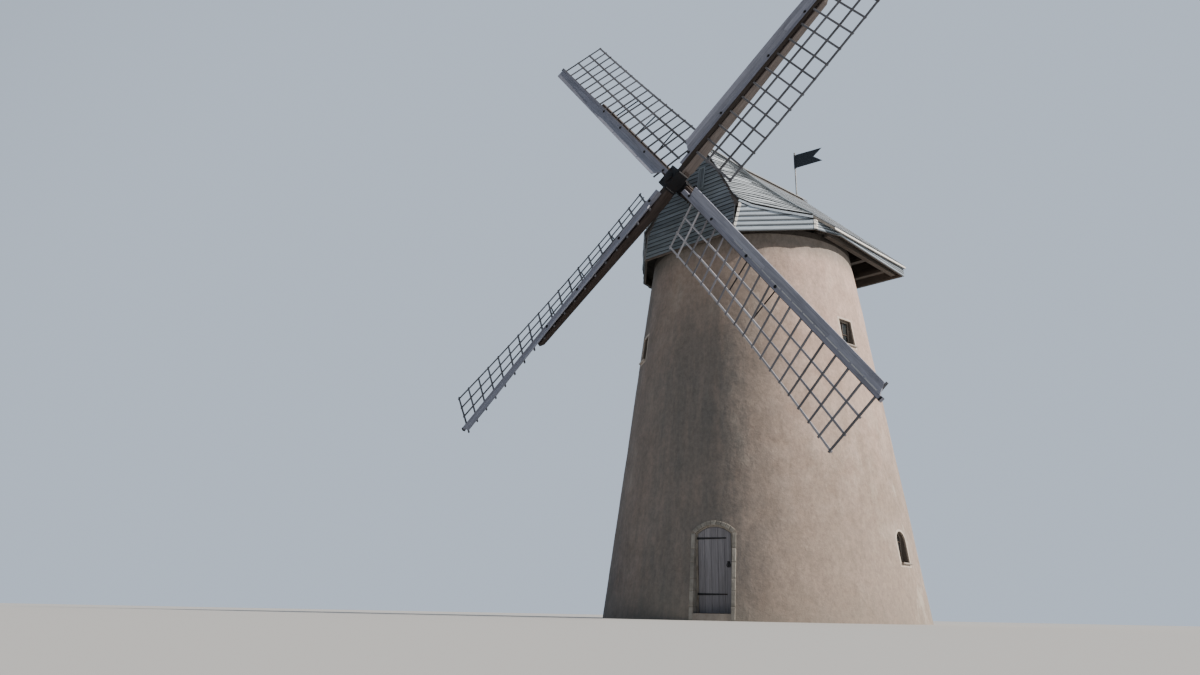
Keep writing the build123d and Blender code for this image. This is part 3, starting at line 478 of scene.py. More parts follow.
# ------------------------------------------------------------------ mesh builder
class MB:
    def __init__(self):
        self.v, self.f, self.g, self.t, self.mi, self.e = [], [], [], [], [], []

    def add(self, verts, faces, grain=None, tone=0.5, mat=0, edge=None):
        k = len(self.v)
        self.e += list(edge) if edge is not None else [1.0] * len(verts)
        self.v += [tuple(p) for p in verts]
        self.g += [tuple(p) for p in (grain if grain is not None else verts)]
        self.t += [tone] * len(verts)
        self.f += [tuple(i + k for i in f) for f in faces]
        self.mi += list(mat) if isinstance(mat, list) else [mat] * len(faces)

    def obj(self, name, mats, body, smooth=False, slot=None, replaces=()):
        me = bpy.data.meshes.new(name)
        me.from_pydata(self.v, [], self.f)
        a = me.attributes.new("grain", "FLOAT_VECTOR", "POINT")
        a.data.foreach_set("vector", np.array(self.g, np.float32).ravel())
        b = me.attributes.new("tone", "FLOAT", "POINT")
        b.data.foreach_set("value", np.array(self.t, np.float32))
        b = me.attributes.new("edge", "FLOAT", "POINT")
        b.data.foreach_set("value", np.array(self.e, np.float32))
        for m in mats:
            me.materials.append(m)
        me.polygons.foreach_set("material_index", self.mi)
        me.polygons.foreach_set("use_smooth", [smooth] * len(me.polygons))
        bm = bmesh.new()
        bm.from_mesh(me)
        bmesh.ops.recalc_face_normals(bm, faces=bm.faces)
        bm.to_mesh(me)
        bm.free()
        me.update()
        o = bpy.data.objects.new(name, me)
        bpy.context.scene.collection.objects.link(o)
        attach(o, body)
        if replaces:
            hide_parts(*replaces)
        return o


_seed = [0]


def rnd(a=0.0, b=1.0):
    return float(rng.uniform(a, b))


def timber(mb, pts, xdirs, ws, ts, ch=0.006, tone=None, mat=0, wob=0.0, goff=None, side=None):
    """Chamfered timber along pts. xdirs is the across direction at each point, ws and ts its width and thickness."""
    n = len(pts)
    tone = rnd() if tone is None else tone
    goff = rnd(0, 50) if goff is None else goff
    V, G, F = [], [], []
    pts = [Vector(p) for p in pts]
    dist = 0.0
    for i, p in enumerate(pts):
        d = (pts[min(i + 1, n - 1)] - pts[max(i - 1, 0)]).normalized()
        x = Vector(xdirs[i] if isinstance(xdirs, list) else xdirs)
        x = (x - d * x.dot(d)).normalized()
        y = d.cross(x)
        w = ws[i] if isinstance(ws, (list, tuple)) else ws
        t = ts[i] if isinstance(ts, (list, tuple)) else ts
        c = min(ch, w * 0.3, t * 0.3)
        hw, ht = w / 2, t / 2
        if i:
            dist += (p - pts[i - 1]).length
        ox, oy = (rnd(-wob, wob), rnd(-wob, wob)) if wob else (0, 0)
        sec = [(-hw + c, -ht), (hw - c, -ht), (hw, -ht + c), (hw, ht - c), (hw - c, ht), (-hw + c, ht), (-hw, ht - c), (-hw, -ht + c)]
        for a, b in sec:
            V.append(p + x * (a + ox) + y * (b + oy))
            G.append((dist + goff, a + goff, b))
    for i in range(n - 1):
        for j in range(8):
            a, b = i * 8 + j, i * 8 + (j + 1) % 8
            F.append((a, b, b + 8, a + 8))
    F.append(tuple(range(7, -1, -1)))
    F.append(tuple(range((n - 1) * 8, n * 8)))
    if side is not None:
        # a material of its own for the face on the -x side
        mat = [side if i % 8 in (5, 6, 7) else mat for i in range((n - 1) * 8)] + [mat, mat]
    mb.add(V, F, G, tone, mat)


def cyl(mb, p0, p1, r0, r1=None, seg=16, tone=0.5, mat=0, cap=True, dome=0.0):
    r1 = r0 if r1 is None else r1
    p0, p1 = Vector(p0), Vector(p1)
    d = (p1 - p0).normalized()
    x = d.orthogonal().normalized()
    y = d.cross(x)
    V = []
    rings = [(p0, r0), (p1, r1)]
    if dome:
        for k in (1, 2, 3):
            a = k * math.pi / 8
            rings.append((p1 + d * dome * math.sin(a), r1 * math.cos(a)))
    for p, r in rings:
        for k in range(seg):
            a = 2 * math.pi * k / seg
            V.append(p + x * r * math.cos(a) + y * r * math.sin(a))
    F = []
    for i in range(len(rings) - 1):
        for k in range(seg):
            a, b = i * seg + k, i * seg + (k + 1) % seg
            F.append((a, b, b + seg, a + seg))
    F.append(tuple(range(seg - 1, -1, -1)))
    F.append(tuple(range((len(rings) - 1) * seg, len(rings) * seg)))
    mb.add(V, F, V, tone, mat)


def bolt(mb, p, n, r=0.02, h=0.012, washer=True, mat=0):
    """Square washer and hexagonal nut, lying on a face at p with outward direction n."""
    p, n = Vector(p), Vector(n).normalized()
    if washer:
        x = n.orthogonal().normalized()
        timber(mb, [p - n * 0.002, p + n * 0.004], x, r * 3.4, r * 3.4, 0.002, 0.4, mat)
    cyl(mb, p, p + n * h, r, r * 0.92, 6, 0.5, mat)
    cyl(mb, p + n * h, p + n * (h + 0.008), r * 0.55, r * 0.5, 8, 0.6, mat)


def resample(pts, m):
    P = np.array(pts, float)
    L = np.r_[0, np.cumsum(np.linalg.norm(np.diff(P, axis=0), axis=1))]
    s = np.linspace(0, L[-1], m)
    return np.stack([np.interp(s, L, P[:, k]) for k in range(3)], 1)


class Surf:
    """Surface through rows of points; u runs along a row, v from the last row (0) up to the first (1)."""

    def __init__(self, rows, m=33, keep=False):
        R = [np.array(r, float) if keep else resample(r, m) for r in rows]
        self.R = np.array(R)[::-1]
        mid = self.R[:, self.R.shape[1] // 2]
        L = np.r_[0, np.cumsum(np.linalg.norm(np.diff(mid, axis=0), axis=1))]
        self.L = L / L[-1]
        self.len = L[-1]
        self.m = self.R.shape[1]

    def row(self, v):
        v = min(max(v, 0.0), 1.0)
        i = int(np.searchsorted(self.L, v, side="right") - 1)
        i = min(max(i, 0), len(self.L) - 2)
        k = (v - self.L[i]) / (self.L[i + 1] - self.L[i])
        return self.R[i] * (1 - k) + self.R[i + 1] * k

    def at(self, u, v):
        r = self.row(v)
        x = min(max(u, 0.0), 1.0) * (self.m - 1)
        i = min(int(x), self.m - 2)
        return Vector(r[i] * (1 - (x - i)) + r[i + 1] * (x - i))

    def nrm(self, u, v, out):
        e = 0.02
        a = self.at(min(u + e, 1), v) - self.at(max(u - e, 0), v)
        b = self.at(u, min(v + e, 1)) - self.at(u, max(v - e, 0))
        n = a.cross(b)
        if n.length < 1e-9:
            return Vector(out).normalized()
        n.normalize()
        return n if n.dot(Vector(out)) > 0 else -n


def courses(mb, S, out, expo=0.15, lap=0.03, t=0.018, low=0.030, high=0.011, blen=(2.2, 3.6), wav=0.0, step=0.30, jit=0.003, mat=0, gap=0.003, skip=None, ulen=None, over=(0.0, 0.0), tone=None):
    """Overlapping boards in courses over a surface."""
    n = max(1, round(S.len / expo))
    for j in range(n):
        v0, v1 = j / n, min(1.0, (j + 1) / n + lap / S.len)
        L = (S.at(1, v0) - S.at(0, v0)).length if ulen is None else ulen
        spans = [(0.0, 1.0)]
        if skip:
            spans = skip(v0, v1, spans)
        for ua, ub in spans:
            cuts = [ua]
            x = ua + rnd(0.35, 1.0) * rnd(*blen) / max(L, 0.01)
            while x < ub - 0.5 / max(L, 0.5):
                cuts.append(x)
                x += rnd(*blen) / max(L, 0.01)
            cuts.append(ub)
            for a, b in zip(cuts, cuts[1:]):
                g = gap / max(L, 0.05) / 2
                aa = a + (g if a > ua else -over[0] / max(L, 0.05))
                bb = b - (g if b < ub else -over[1] / max(L, 0.05))
                k = max(2, int((bb - aa) * L / step) + 1)
                dp, dv = rnd(-jit, jit), rnd(-jit, jit) / S.len
                V, G, E = [], [], []
                g0, g1 = rnd(0, 90), rnd(0, 90)
                ph = rnd(0, 50)
                for i in range(k + 1):
                    u = aa + (bb - aa) * i / k
                    uc = min(max(u, 0), 1)
                    w = wav * noise.noise(Vector((u * L * 1.7 + ph, j * 3.1, 0))) / S.len
                    w2 = wav * noise.noise(Vector((u * L * 1.7 + ph + 40, j * 3.1, 5))) * 0.4
                    va, vb = max(v0 + w + dv, 0), v1
                    ext = (S.at(min(uc + 0.01, 1), va) - S.at(max(uc - 0.01, 0), va))
                    ext = ext.normalized() * ((u - uc) * L) if ext.length > 1e-9 else Vector((0, 0, 0))
                    na, nb = S.nrm(uc, va, out), S.nrm(uc, vb, out)
                    p, q = S.at(uc, va) + ext, S.at(uc, vb) + ext
                    h = (q - p).length
                    V += [p + na * (low + dp + w2), q + nb * (high + dp), q + nb * (high + dp - t * 0.6), p + na * (low + dp + w2 - t)]
                    s = (u - aa) * L
                    G += [(s + g0, g1, 0), (s + g0, h + g1, 0), (s + g0, h + g1, t), (s + g0, g1, t)]
                    E += [0.0, h, h, 0.0]
                F = []
                for i in range(k):
                    o = i * 4
                    for c in range(4):
                        d = (c + 1) % 4
                        F.append((o + c, o + d, o + 4 + d, o + 4 + c))
                F.append((3, 2, 1, 0))
                F.append(tuple(k * 4 + c for c in range(4)))
                mb.add(V, F, G, rnd() if tone is None else tone, mat, E)


def az(p, deg):
    a = math.radians(deg)
    return Vector((p[0] * math.cos(a) - p[1] * math.sin(a), p[0] * math.sin(a) + p[1] * math.cos(a), p[2]))


# ------------------------------------------------------------------ tower skin
def lathe_solid(name, r_out, r_in, z0, z1, nphi, nz, disp):
    V, F = [], []
    for i in range(nz + 1):
        z = z0 + (z1 - z0) * i / nz
        for k in range(nphi):
            a = 2 * math.pi * k / nphi
            r = r_out(z) - disp(a, z)
            V.append((r * math.cos(a), r * math.sin(a), z))
    m = 6
    for i in range(m + 1):
        z = z0 + (z1 - z0) * i / m
        for k in range(nphi):
            a = 2 * math.pi * k / nphi
            r = r_in(z)
            V.append((r * math.cos(a), r * math.sin(a), z))
    for i in range(nz):
        for k in range(nphi):
            a, b = i * nphi + k, i * nphi + (k + 1) % nphi
            F.append((a, b, b + nphi, a + nphi))
    o = (nz + 1) * nphi
    for i in range(m):
        for k in range(nphi):
            a, b = o + i * nphi + k, o + i * nphi + (k + 1) % nphi
            F.append((b, a, a + nphi, b + nphi))
    for k in range(nphi):
        k2 = (k + 1) % nphi
        F.append((k2, k, o + k, o + k2))
        F.append((nz * nphi + k, nz * nphi + k2, o + m * nphi + k2, o + m * nphi + k))
    me = bpy.data.meshes.new(name)
    me.from_pydata(V, [], F)
    return bpy.data.objects.new(name, me)


def prism(poly, y0, y1, deg, taper=0.0):
    """Prism of an x-z outline between two depths, turned to a direction round the tower. taper widens its outer end."""
    n = len(poly)
    cx = sum(p[0] for p in poly) / n
    cz = sum(p[1] for p in poly) / n
    V = [az((cx + (p[0] - cx) * (1 + taper), y0, cz + (p[1] - cz) * (1 + taper)), deg) for p in poly] + [az((p[0], y1, p[1]), deg) for p in poly]
    F = [tuple(range(n)), tuple(range(2 * n - 1, n - 1, -1))] + [(i, n + i, n + (i + 1) % n, (i + 1) % n) for i in range(n)]
    return V, F


def window_poly(z0, z1, w, arched, n=12):
    h = w / 2
    if not arched:
        return [(-h, z0), (h, z0), (h, z1), (-h, z1)]
    return [(-h, z0), (h, z0)] + [(h * math.cos(a), z1 - h + h * math.sin(a)) for a in np.linspace(0, math.pi, n)]


RI = (DOOR_HW ** 2 + (CROWN_Z - SPRING_Z) ** 2) / (2 * (CROWN_Z - SPRING_Z))
ZC = CROWN_Z - RI
RO = RI + JAMB_W


def tower_disp(a, z):
    p = Vector((math.cos(a) * 4, math.sin(a) * 4, z))
    d = 0.010 + 0.007 * noise.noise(p * 0.55) + 0.0055 * noise.noise(p * 1.6 + Vector((7, 3, 1))) + 0.003 * noise.noise(p * 4.2)
    return max(0.0008, d)


def make_tower():
    nphi, nz = ((330, 150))
    o = lathe_solid("tower_masonry", rad, lambda z: rad(z) - WALL_T, 0.0, WALL_H, nphi, nz, tower_disp)
    bpy.context.scene.collection.objects.link(o)
    V, F = [], []
    parts = [prism(window_poly(z0, z1, w, ar), -4.6, -1.6, a) for a, z0, z1, w, ar in UPPER + LOWER]
    hw = DOOR_HW + JAMB_W
    zs = ZC + math.sqrt(RO ** 2 - hw ** 2)
    a0 = math.atan2(zs - ZC, hw)
    arc = [(RO * math.cos(t), ZC + RO * math.sin(t)) for t in np.linspace(a0, math.pi - a0, 15)]
    parts.append(prism([(-hw, -0.5), (hw, -0.5)] + arc, -4.6, -1.6, DOOR_AZ))
    for v, f in parts:
        k = len(V)
        V += v
        F += [tuple(i + k for i in q) for q in f]
    cm = bpy.data.meshes.new("cut")
    cm.from_pydata([tuple(p) for p in V], [], F)
    bm = bmesh.new(); bm.from_mesh(cm)
    bmesh.ops.recalc_face_normals(bm, faces=bm.faces)
    bm.to_mesh(cm); bm.free()
    co = bpy.data.objects.new("cut", cm)
    bpy.context.scene.collection.objects.link(co)
    mod = o.modifiers.new("b", "BOOLEAN")
    mod.operation, mod.object, mod.solver = "DIFFERENCE", co, "EXACT"
    dg = bpy.context.evaluated_depsgraph_get()
    me = bpy.data.meshes.new_from_object(o.evaluated_get(dg))
    o.modifiers.clear()
    o.data = me
    bpy.data.objects.remove(co)
    me.materials.clear()
    me.materials.append(MAT["render"])
    me.polygons.foreach_set("use_smooth", [True] * len(me.polygons))
    me.set_sharp_from_angle(angle=math.radians(40))
    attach(o, "tower")
    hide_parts(*[n for n in N if n.startswith("wall_")])
    return o


# ------------------------------------------------------------------ doorway
def wall_y(x, z, deg_local=0.0):
    return -math.sqrt(max(rad(z) ** 2 - x * x, 0.1))


def stone_block(mb, quad, depth_y, proud=0.010, inset=0.004, tone=None, nu=5, nv=4, deg=DOOR_AZ, rough=0.003):
    """Dressed block: its face follows the wall over the outline quad (four x-z corners) and its edges are rounded."""
    tone = rnd() if tone is None else tone
    q = [Vector((p[0], p[1])) for p in quad]
    c = sum(q, Vector((0, 0))) / 4
    V, F = [], []

    def bil(u, v):
        return q[0] * (1 - u) * (1 - v) + q[1] * u * (1 - v) + q[2] * u * v + q[3] * (1 - u) * v
    us = [0, 0.06] + list(np.linspace(0.15, 0.85, nu)) + [0.94, 1]
    vs = [0, 0.06] + list(np.linspace(0.15, 0.85, nv)) + [0.94, 1]
    sd = rnd(0, 99)
    for v in vs:
        for u in us:
            p = bil(u, v)
            e = min(u, 1 - u, v, 1 - v)
            drop = 0.008 if e < 0.01 else (0.0018 if e < 0.1 else 0)
            r = rough * noise.noise(Vector((p.x * 9 + sd, p.y * 9, sd)))
            y = wall_y(p.x, p.y) - proud + drop + r
            V.append(az((p.x, y, p.y), deg))
    nu_, nv_ = len(us), len(vs)
    for j in range(nv_ - 1):
        for i in range(nu_ - 1):
            a = j * nu_ + i
            F.append((a, a + 1, a + nu_ + 1, a + nu_))
    ring = [i for i in range(nu_)] + [j * nu_ + nu_ - 1 for j in range(1, nv_)] + [(nv_ - 1) * nu_ + i for i in range(nu_ - 2, -1, -1)] + [j * nu_ for j in range(nv_ - 2, 0, -1)]
    k = len(V)
    pts2 = [bil(us[r % nu_], vs[r // nu_]) for r in ring]
    for p in pts2:
        V.append(az((p.x, depth_y, p.y), deg))
    m = len(ring)
    for i in range(m):
        F.append((ring[i], k + i, k + (i + 1) % m, ring[(i + 1) % m]))
    F.append(tuple(range(k, k + m)))
    mb.add(V, F, V, tone)


def make_door():
    mb = MB()
    g = 0.0045
    # voussoirs of the segmental arch
    nv = 9
    a1 = math.atan2(SPRING_Z - ZC, DOOR_HW)
    edges = np.linspace(a1, math.pi - a1, nv + 1)
    for i in range(nv):
        t0, t1 = edges[i] + g / RI, edges[i + 1] - g / RI
        r0, r1 = RI - 0.003, RO
        quad = [(r0 * math.cos(t1), ZC + r0 * math.sin(t1)), (r0 * math.cos(t0), ZC + r0 * math.sin(t0)),
                (r1 * math.cos(t0), ZC + r1 * math.sin(t0)), (r1 * math.cos(t1), ZC + r1 * math.sin(t1))]
        stone_block(mb, quad, FRAME_Y0 - 0.004, 0.012)
    for s in (-1, 1):
        z = 0.0
        hs = [0.30, 0.34, 0.27, 0.36, 0.31, 0.348]
        tot = SPRING_Z - 0.002
        k = tot / sum(hs)
        for i, h in enumerate(hs):
            h *= k
            x0, x1 = DOOR_HW - 0.003, DOOR_HW + JAMB_W
            quad = [(x0, z + g), (x1, z + g), (x1, z + h - g), (x0, z + h - g)]
            if s < 0:
                quad = [(-p[0], p[1]) for p in (quad[1], quad[0], quad[3], quad[2])]
            stone_block(mb, quad, FRAME_Y0 - 0.004, 0.010)
            z += h
    mb.obj("doorway_stones", [MAT["archstone"]], "tower", slot="dressed_stone")
    for nm in ("door_arch", "door_jambs"):
        N[nm].data.materials.clear(); N[nm].data.materials.append(MAT["mortar"])
    N["door_step"].data.materials.clear(); N["door_step"].data.materials.append(MAT["stone"])
    # leaf: vertical boards with beaded joints, cut to the arch
    mb = MB()
    hwl, rl = DOOR_HW - FRAME_W - 0.008, RI - FRAME_W - 0.010
    nb = 5
    z0 = SLAB_T + 0.008
    for i in range(nb):
        xa, xb = -hwl + 2 * hwl * i / nb + 0.0022, -hwl + 2 * hwl * (i + 1) / nb - 0.0022
        tone, gg = rnd(0.2, 0.8), rnd(0, 50)
        cols = [xa, xa + 0.006, xa + (xb - xa) * 0.35, xa + (xb - xa) * 0.65, xb - 0.006, xb]
        zs = [0.0] + [0.12 * k for k in range(1, 16)]
        V, G, F = [], [], []
        nz = 16
        for k in range(nz + 1):
            for ci, x in enumerate(cols):
                zt = ZC + math.sqrt(max(rl ** 2 - x * x, 0))
                zz = z0 + (zt - z0) * k / nz
                e = 0.005 if ci in (0, len(cols) - 1) else 0.0
                dd = 0.0012 * noise.noise(Vector((x * 8, zz * 3, gg)))
                V.append(az((x, FRAME_Y0 + e + dd + 0.001, zz), DOOR_AZ))
                G.append((zz + gg, x + gg, 0))
        nc = len(cols)
        for k in range(nz):
            for ci in range(nc - 1):
                a = k * nc + ci
                F.append((a, a + 1, a + nc + 1, a + nc))
        base = len(V)
        for k in range(nz + 1):
            for ci in (0, nc - 1):
                x = cols[ci]
                zt = ZC + math.sqrt(max(rl ** 2 - x * x, 0))
                zz = z0 + (zt - z0) * k / nz
                V.append(az((x, FRAME_Y0 + LEAF_T - 0.001, zz), DOOR_AZ))
                G.append((zz + gg, x + gg, 0.04))
        for k in range(nz):
            F.append((k * nc, k * nc + nc, base + 2 * k + 2, base + 2 * k))
            F.append((k * nc + nc - 1, base + 2 * k + 1, base + 2 * k + 3, k * nc + 2 * nc - 1))
            F.append((base + 2 * k, base + 2 * k + 2, base + 2 * k + 3, base + 2 * k + 1))
        F.append(tuple(range(nc)) + (base + 1, base))
        F.append((base + 2 * nz, base + 2 * nz + 1) + tuple(nz * nc + ci for ci in range(nc - 1, -1, -1)))
        mb.add(V, F, G, tone)
    # ledges on the inside
    for z in (0.56, 1.15, 1.776):
        timber(mb, [az((-0.31, FRAME_Y0 + LEAF_T + 0.012, z), DOOR_AZ), az((0.31, FRAME_Y0 + LEAF_T + 0.012, z), DOOR_AZ)], (0, 0, 1), 0.14, 0.024, 0.004)
    mb.obj("door_planks", [MAT["door"]], "door", slot="door_boards", replaces=("door_leaf",))
    # studs on the straps and a ring handle
    mb = MB()
    for z in HINGE_Z:
        for x in (-0.35, -0.23, -0.10, 0.04, 0.20):
            p = az((x, FRAME_Y0 - 0.006, z), DOOR_AZ)
            cyl(mb, p, p + az((0, -0.004, 0), DOOR_AZ), 0.009, 0.007, 10, dome=0.004)
    ring_c = Vector((0.325, FRAME_Y0 - 0.016, 1.185))
    seg = 24
    V, F = [], []
    for i in range(seg):
        a = 2 * math.pi * i / seg
        for k in range(8):
            b = 2 * math.pi * k / 8
            r = 0.045 + 0.006 * math.cos(b)
            V.append(az((ring_c.x + r * math.sin(a), ring_c.y + 0.006 * math.sin(b), ring_c.z + r * math.cos(a)), DOOR_AZ))
    for i in range(seg):
        for k in range(8):
            a, b = i * 8 + k, i * 8 + (k + 1) % 8
            c, d = ((i + 1) % seg) * 8 + (k + 1) % 8, ((i + 1) % seg) * 8 + k
            F.append((a, b, c, d))
    mb.add(V, F, V)
    cyl(mb, az((0.325, FRAME_Y0 - 0.004, 1.232), DOOR_AZ), az((0.325, FRAME_Y0 - 0.026, 1.232), DOOR_AZ), 0.012, 0.010, 12, dome=0.006)
    mb.obj("door_studs", [MAT["iron"]], "door", slot="black_iron")
    N["door_ironwork"].data.materials.clear(); N["door_ironwork"].data.materials.append(MAT["iron"])
    N["door_frame"].data.materials.clear(); N["door_frame"].data.materials.append(MAT["frame"])


# ------------------------------------------------------------------ windows
def make_windows():
    mb = MB()
    sills = MB()
    for a, z0, z1, w, arched in UPPER + LOWER:
        zm = (z0 + z1) / 2
        y0 = -(rad(zm) - WIN_SET)
        h = w / 2 - WIN_FR
        yb = y0 + 0.020
        # one upright and cross bars in front of the glass
        timber(mb, [az((0, yb, z0 + WIN_FR), a), az((0, yb, z1 - (WIN_FR if not arched else 0.02)), a)], az((1, 0, 0), a), 0.022, 0.026, 0.006)
        n = 2
        zt = z1 - WIN_FR if not arched else z1 - w / 2
        for k in range(1, n + (0 if not arched else 1)):
            z = z0 + WIN_FR + (zt - z0 - WIN_FR) * k / n
            timber(mb, [az((-h, yb, z), a), az((h, yb, z), a)], (0, 0, 1), 0.022, 0.026, 0.006)
        # moulding round the pane
        poly = window_poly(z0 + WIN_FR - 0.004, z1 - WIN_FR + 0.004, 2 * h + 0.008, arched, 14)
        pts = [az((p[0], yb, p[1]), a) for p in poly]
        for p, q in zip(pts, pts[1:] + pts[:1]):
            timber(mb, [p, q], az((0, 1, 0), a), 0.020, 0.014, 0.004, 0.5)
        # sill
        ys = -rad(z0) - 0.004
        timber(sills, [az((-w / 2 + 0.001, (ys + y0) / 2 - 0.02, z0 + 0.012), a), az((w / 2 - 0.001, (ys + y0) / 2 - 0.02, z0 + 0.012), a)], az((0, 1, -0.14), a), abs(ys - y0) + 0.03, 0.040, 0.008)
    mb.obj("window_bars", [MAT["bars"]], "tower", slot="frame_paint")
    sills.obj("window_sills", [MAT["stone"]], "tower", slot="dressed_stone")
    N["window_frames"].data.materials.clear(); N["window_frames"].data.materials.append(MAT["frame"])
    N["window_glass"].data.materials.clear(); N["window_glass"].data.materials.append(MAT["glass"])


# ------------------------------------------------------------------ cap
VF = 0.060
REAR_Y = 3.190


def on_front(x, z, off=0.0):
    return (x, FRONT_Y + LEAN * (z - SKIRT_Z) - off, z)


def roof_rows():
    ridge0, ridge1 = (0.0, -0.270, 12.853), (0.0, -2.325 - VF, 12.863)
    verge = [ridge1] + [on_front(x, z, VF) for x, z in ((0.507, 12.131), (0.820, 11.676), (1.109, 11.178), (1.271, 10.912), (1.412, 10.635), (1.614, 10.418))]
    hip = [ridge0, (0.451, -0.442, 12.348), (1.229, -0.744, 11.568), (1.877, -0.998, 10.934), (2.471, -1.225, 10.397), (2.925, -1.392, 10.023)]
    low = [verge[-1], (1.850, -2.548, 10.273), (2.160, -2.215, 10.188), (2.400, -1.965, 10.128), (2.925, -1.392, 10.023)]
    rows = []
    m = len(hip)
    for i in range(m):
        t = i / (m - 1)
        k = t * (len(verge) - 1)
        a = int(min(k, len(verge) - 2)); u = k - a
        v = tuple(verge[a][c] * (1 - u) + verge[a + 1][c] * u for c in range(3)) if 0 < i < m - 1 else (verge[0] if i == 0 else verge[-1])
        hp = hip[i]
        if i == 0:
            row = [v, tuple((v[c] + hp[c]) / 2 for c in range(3)), hp]
        elif i == m - 1:
            row = low
        else:
            row = []
            for j in range(5):
                w = j / 4
                p = [v[c] * (1 - w) + hp[c] * w for c in range(3)]
                bow = 4 * w * (1 - w)
                p[0] += 0.095 * bow * math.sin(math.pi * t)
                p[1] -= 0.095 * bow * math.sin(math.pi * t)
                row.append(tuple(p))
        rows.append(row)
    back = [(x, REAR_Y, 13.094 - 0.997 * x) for x in (0, 0.451, 1.229, 1.877, 2.471, 2.925, 3.200)]
    eave0 = (3.200, -0.812, 9.797)
    srows = [[f, tuple((f[c] + b[c]) / 2 for c in range(3)), b] for f, b in zip(hip + [eave0], back)]
    return rows, srows, hip, verge


def mx(rows, s):
    return [[(p[0] * s, p[1], p[2]) for p in r] for r in rows]


def make_cap():
    rows, srows, hip, verge = roof_rows()
    for s, side in ((1, "right"), (-1, "left")):
        mb = MB()
        S = Surf(mx(rows, s), 25)
        courses(mb, S, (s, -1, 1), expo=0.128, wav=0.030, low=0.034, high=0.012, step=0.13, blen=(1.2, 2.6), jit=0.005, over=(0.012, 0.0))
        mb.obj("bow_boards_" + side, [MAT["cheek"]], "cap", slot="cap_boards")
        mb = MB()
        S = Surf(mx(srows, s), 25)
        courses(mb, S, (s, 0, 1), expo=0.150, wav=0.006, low=0.015, high=0.010, t=0.012, blen=(2.0, 3.4), jit=0.0012, over=(0.0, 0.012))
        mb.obj("roof_boards_" + side, [MAT["roofside"]], "cap", slot="cap_boards")
        # hip strip
        mb = MB()
        H = [Vector((p[0] * s, p[1], p[2])) for p in hip]
        up = Vector((s * 0.35, -0.35, 0.85)).normalized()
        P = [h + up * 0.040 for h in H]
        timber(mb, P, [(P[min(i + 1, 5)] - P[max(i - 1, 0)]).cross(up) for i in range(6)], 0.045, 0.020, 0.005, 0.15)
        mb.obj("hip_strip_" + side, [MAT["front"]], "cap", slot="cap_boards")
        for nm in ("bow_roof_" + side, "side_roof_" + side):
            N[nm].data.materials.clear(); N[nm].data.materials.append(MAT["soffit"])
        # skirt boards
        mb = MB()
        plan = [(1.490, -2.900), (2.940, -1.310), (3.150, -0.410), (3.150, 3.150)]
        bot, top = [9.488, 9.640, 9.684, 9.605], [10.282, 9.900, 9.760, 9.850]
        ends = MB()
        for i in range(3):
            e = (0.136, 0.068, 0.056)[i]
            (xa, ya), (xb, yb) = plan[i], plan[i + 1]
            L = math.hypot(xb - xa, yb - ya)
            nx, ny = (yb - ya) / L, -(xb - xa) / L
            nrm = Vector((nx * s, ny, 0))
            hA, hB = top[i] - bot[i], top[i + 1] - bot[i + 1]
            j = 0
            while j * e < max(hA, hB) - 0.02:
                # a course stops where the top edge of the skirt comes down to it, or starts there
                ub = 0.0 if hA > j * e + 0.02 else (j * e + 0.02 - hA) / (hB - hA)
                ue = 1.0 if hB > j * e + 0.02 else (hA - j * e - 0.02) / (hA - hB)
                k = max(2, int((ue - ub) * L / 0.3))
                V, G, F, E = [], [], [], []
                g0, g1 = rnd(0, 90), rnd(0, 90)
                dp = rnd(-0.002, 0.002)
                for q in range(k + 1):
                    u = ub + (ue - ub) * q / k
                    b, t_ = bot[i] + (bot[i + 1] - bot[i]) * u, top[i] + (top[i + 1] - top[i]) * u
                    za, zb = b + j * e - (0.012 if j == 0 else 0), min(b + (j + 1) * e + 0.03, t_ + 0.02)
                    lo = 0.030 if i == 0 else 0.020
                    for z, off in ((za, lo), (zb, 0.011), (zb, 0.001), (za, lo - 0.016)):
                        us = LEAN * max(z - SKIRT_Z, 0) / (yb - ya) - 0.012 if i == 0 else 0.0
                        uu = us + u * (ue - us) / ue if i == 0 else u + (0.016 / L if u > 0.999 and i < 2 else 0.0)
                        x, y = xa + (xb - xa) * uu, ya + (yb - ya) * uu
                        V.append(Vector((x * s, y, z)) + nrm * (off + dp))
                        G.append((u * L + g0, z + g1, off))
                        E.append(0.0 if z == za else zb - za)
                for q in range(k):
                    o = q * 4
                    for c in range(4):
                        d = (c + 1) % 4
                        F.append((o + c, o + d, o + 4 + d, o + 4 + c))
                F.append((3, 2, 1, 0)); F.append(tuple(k * 4 + c for c in range(4)))
                mb.add(V, F, G, rnd(0.35, 0.95), 0, E)
                if i < 2:
                    # the ends of the boards show as short steps at the corners, pale with painted sunlight on the right
                    # side
                    for u, top_u in ((0.0, False), (1.0, True)):
                        if (i in (0, 1)) if not top_u else (i == 0 and ue >= 1.0):
                            b = bot[i] + (bot[i + 1] - bot[i]) * u
                            za, zb = b + j * e + 0.012, b + (j + 1) * e - 0.006
                            q = []
                            for z, off in ((za, 0.034), (zb, 0.018)):
                                us = (LEAN * max(z - SKIRT_Z, 0) / (yb - ya) - 0.010 if i == 0 else 0.0) if u == 0.0 else 1.0
                                q.append(Vector(((xa + (xb - xa) * us) * s, ya + (yb - ya) * us, z)) + nrm * off)
                            ax = Vector((s * (xb - xa) / L, (yb - ya) / L, 0))
                            timber(ends, [q[0] + ax * (0.022 - 0.044 * u), q[1] + ax * (0.022 - 0.044 * u)], ax, 0.066, 0.014, 0.003, rnd(0.5, 1.0))
                j += 1
        mb.obj("skirt_boards_" + side, [MAT["skirt"]], "cap", slot="cap_boards")
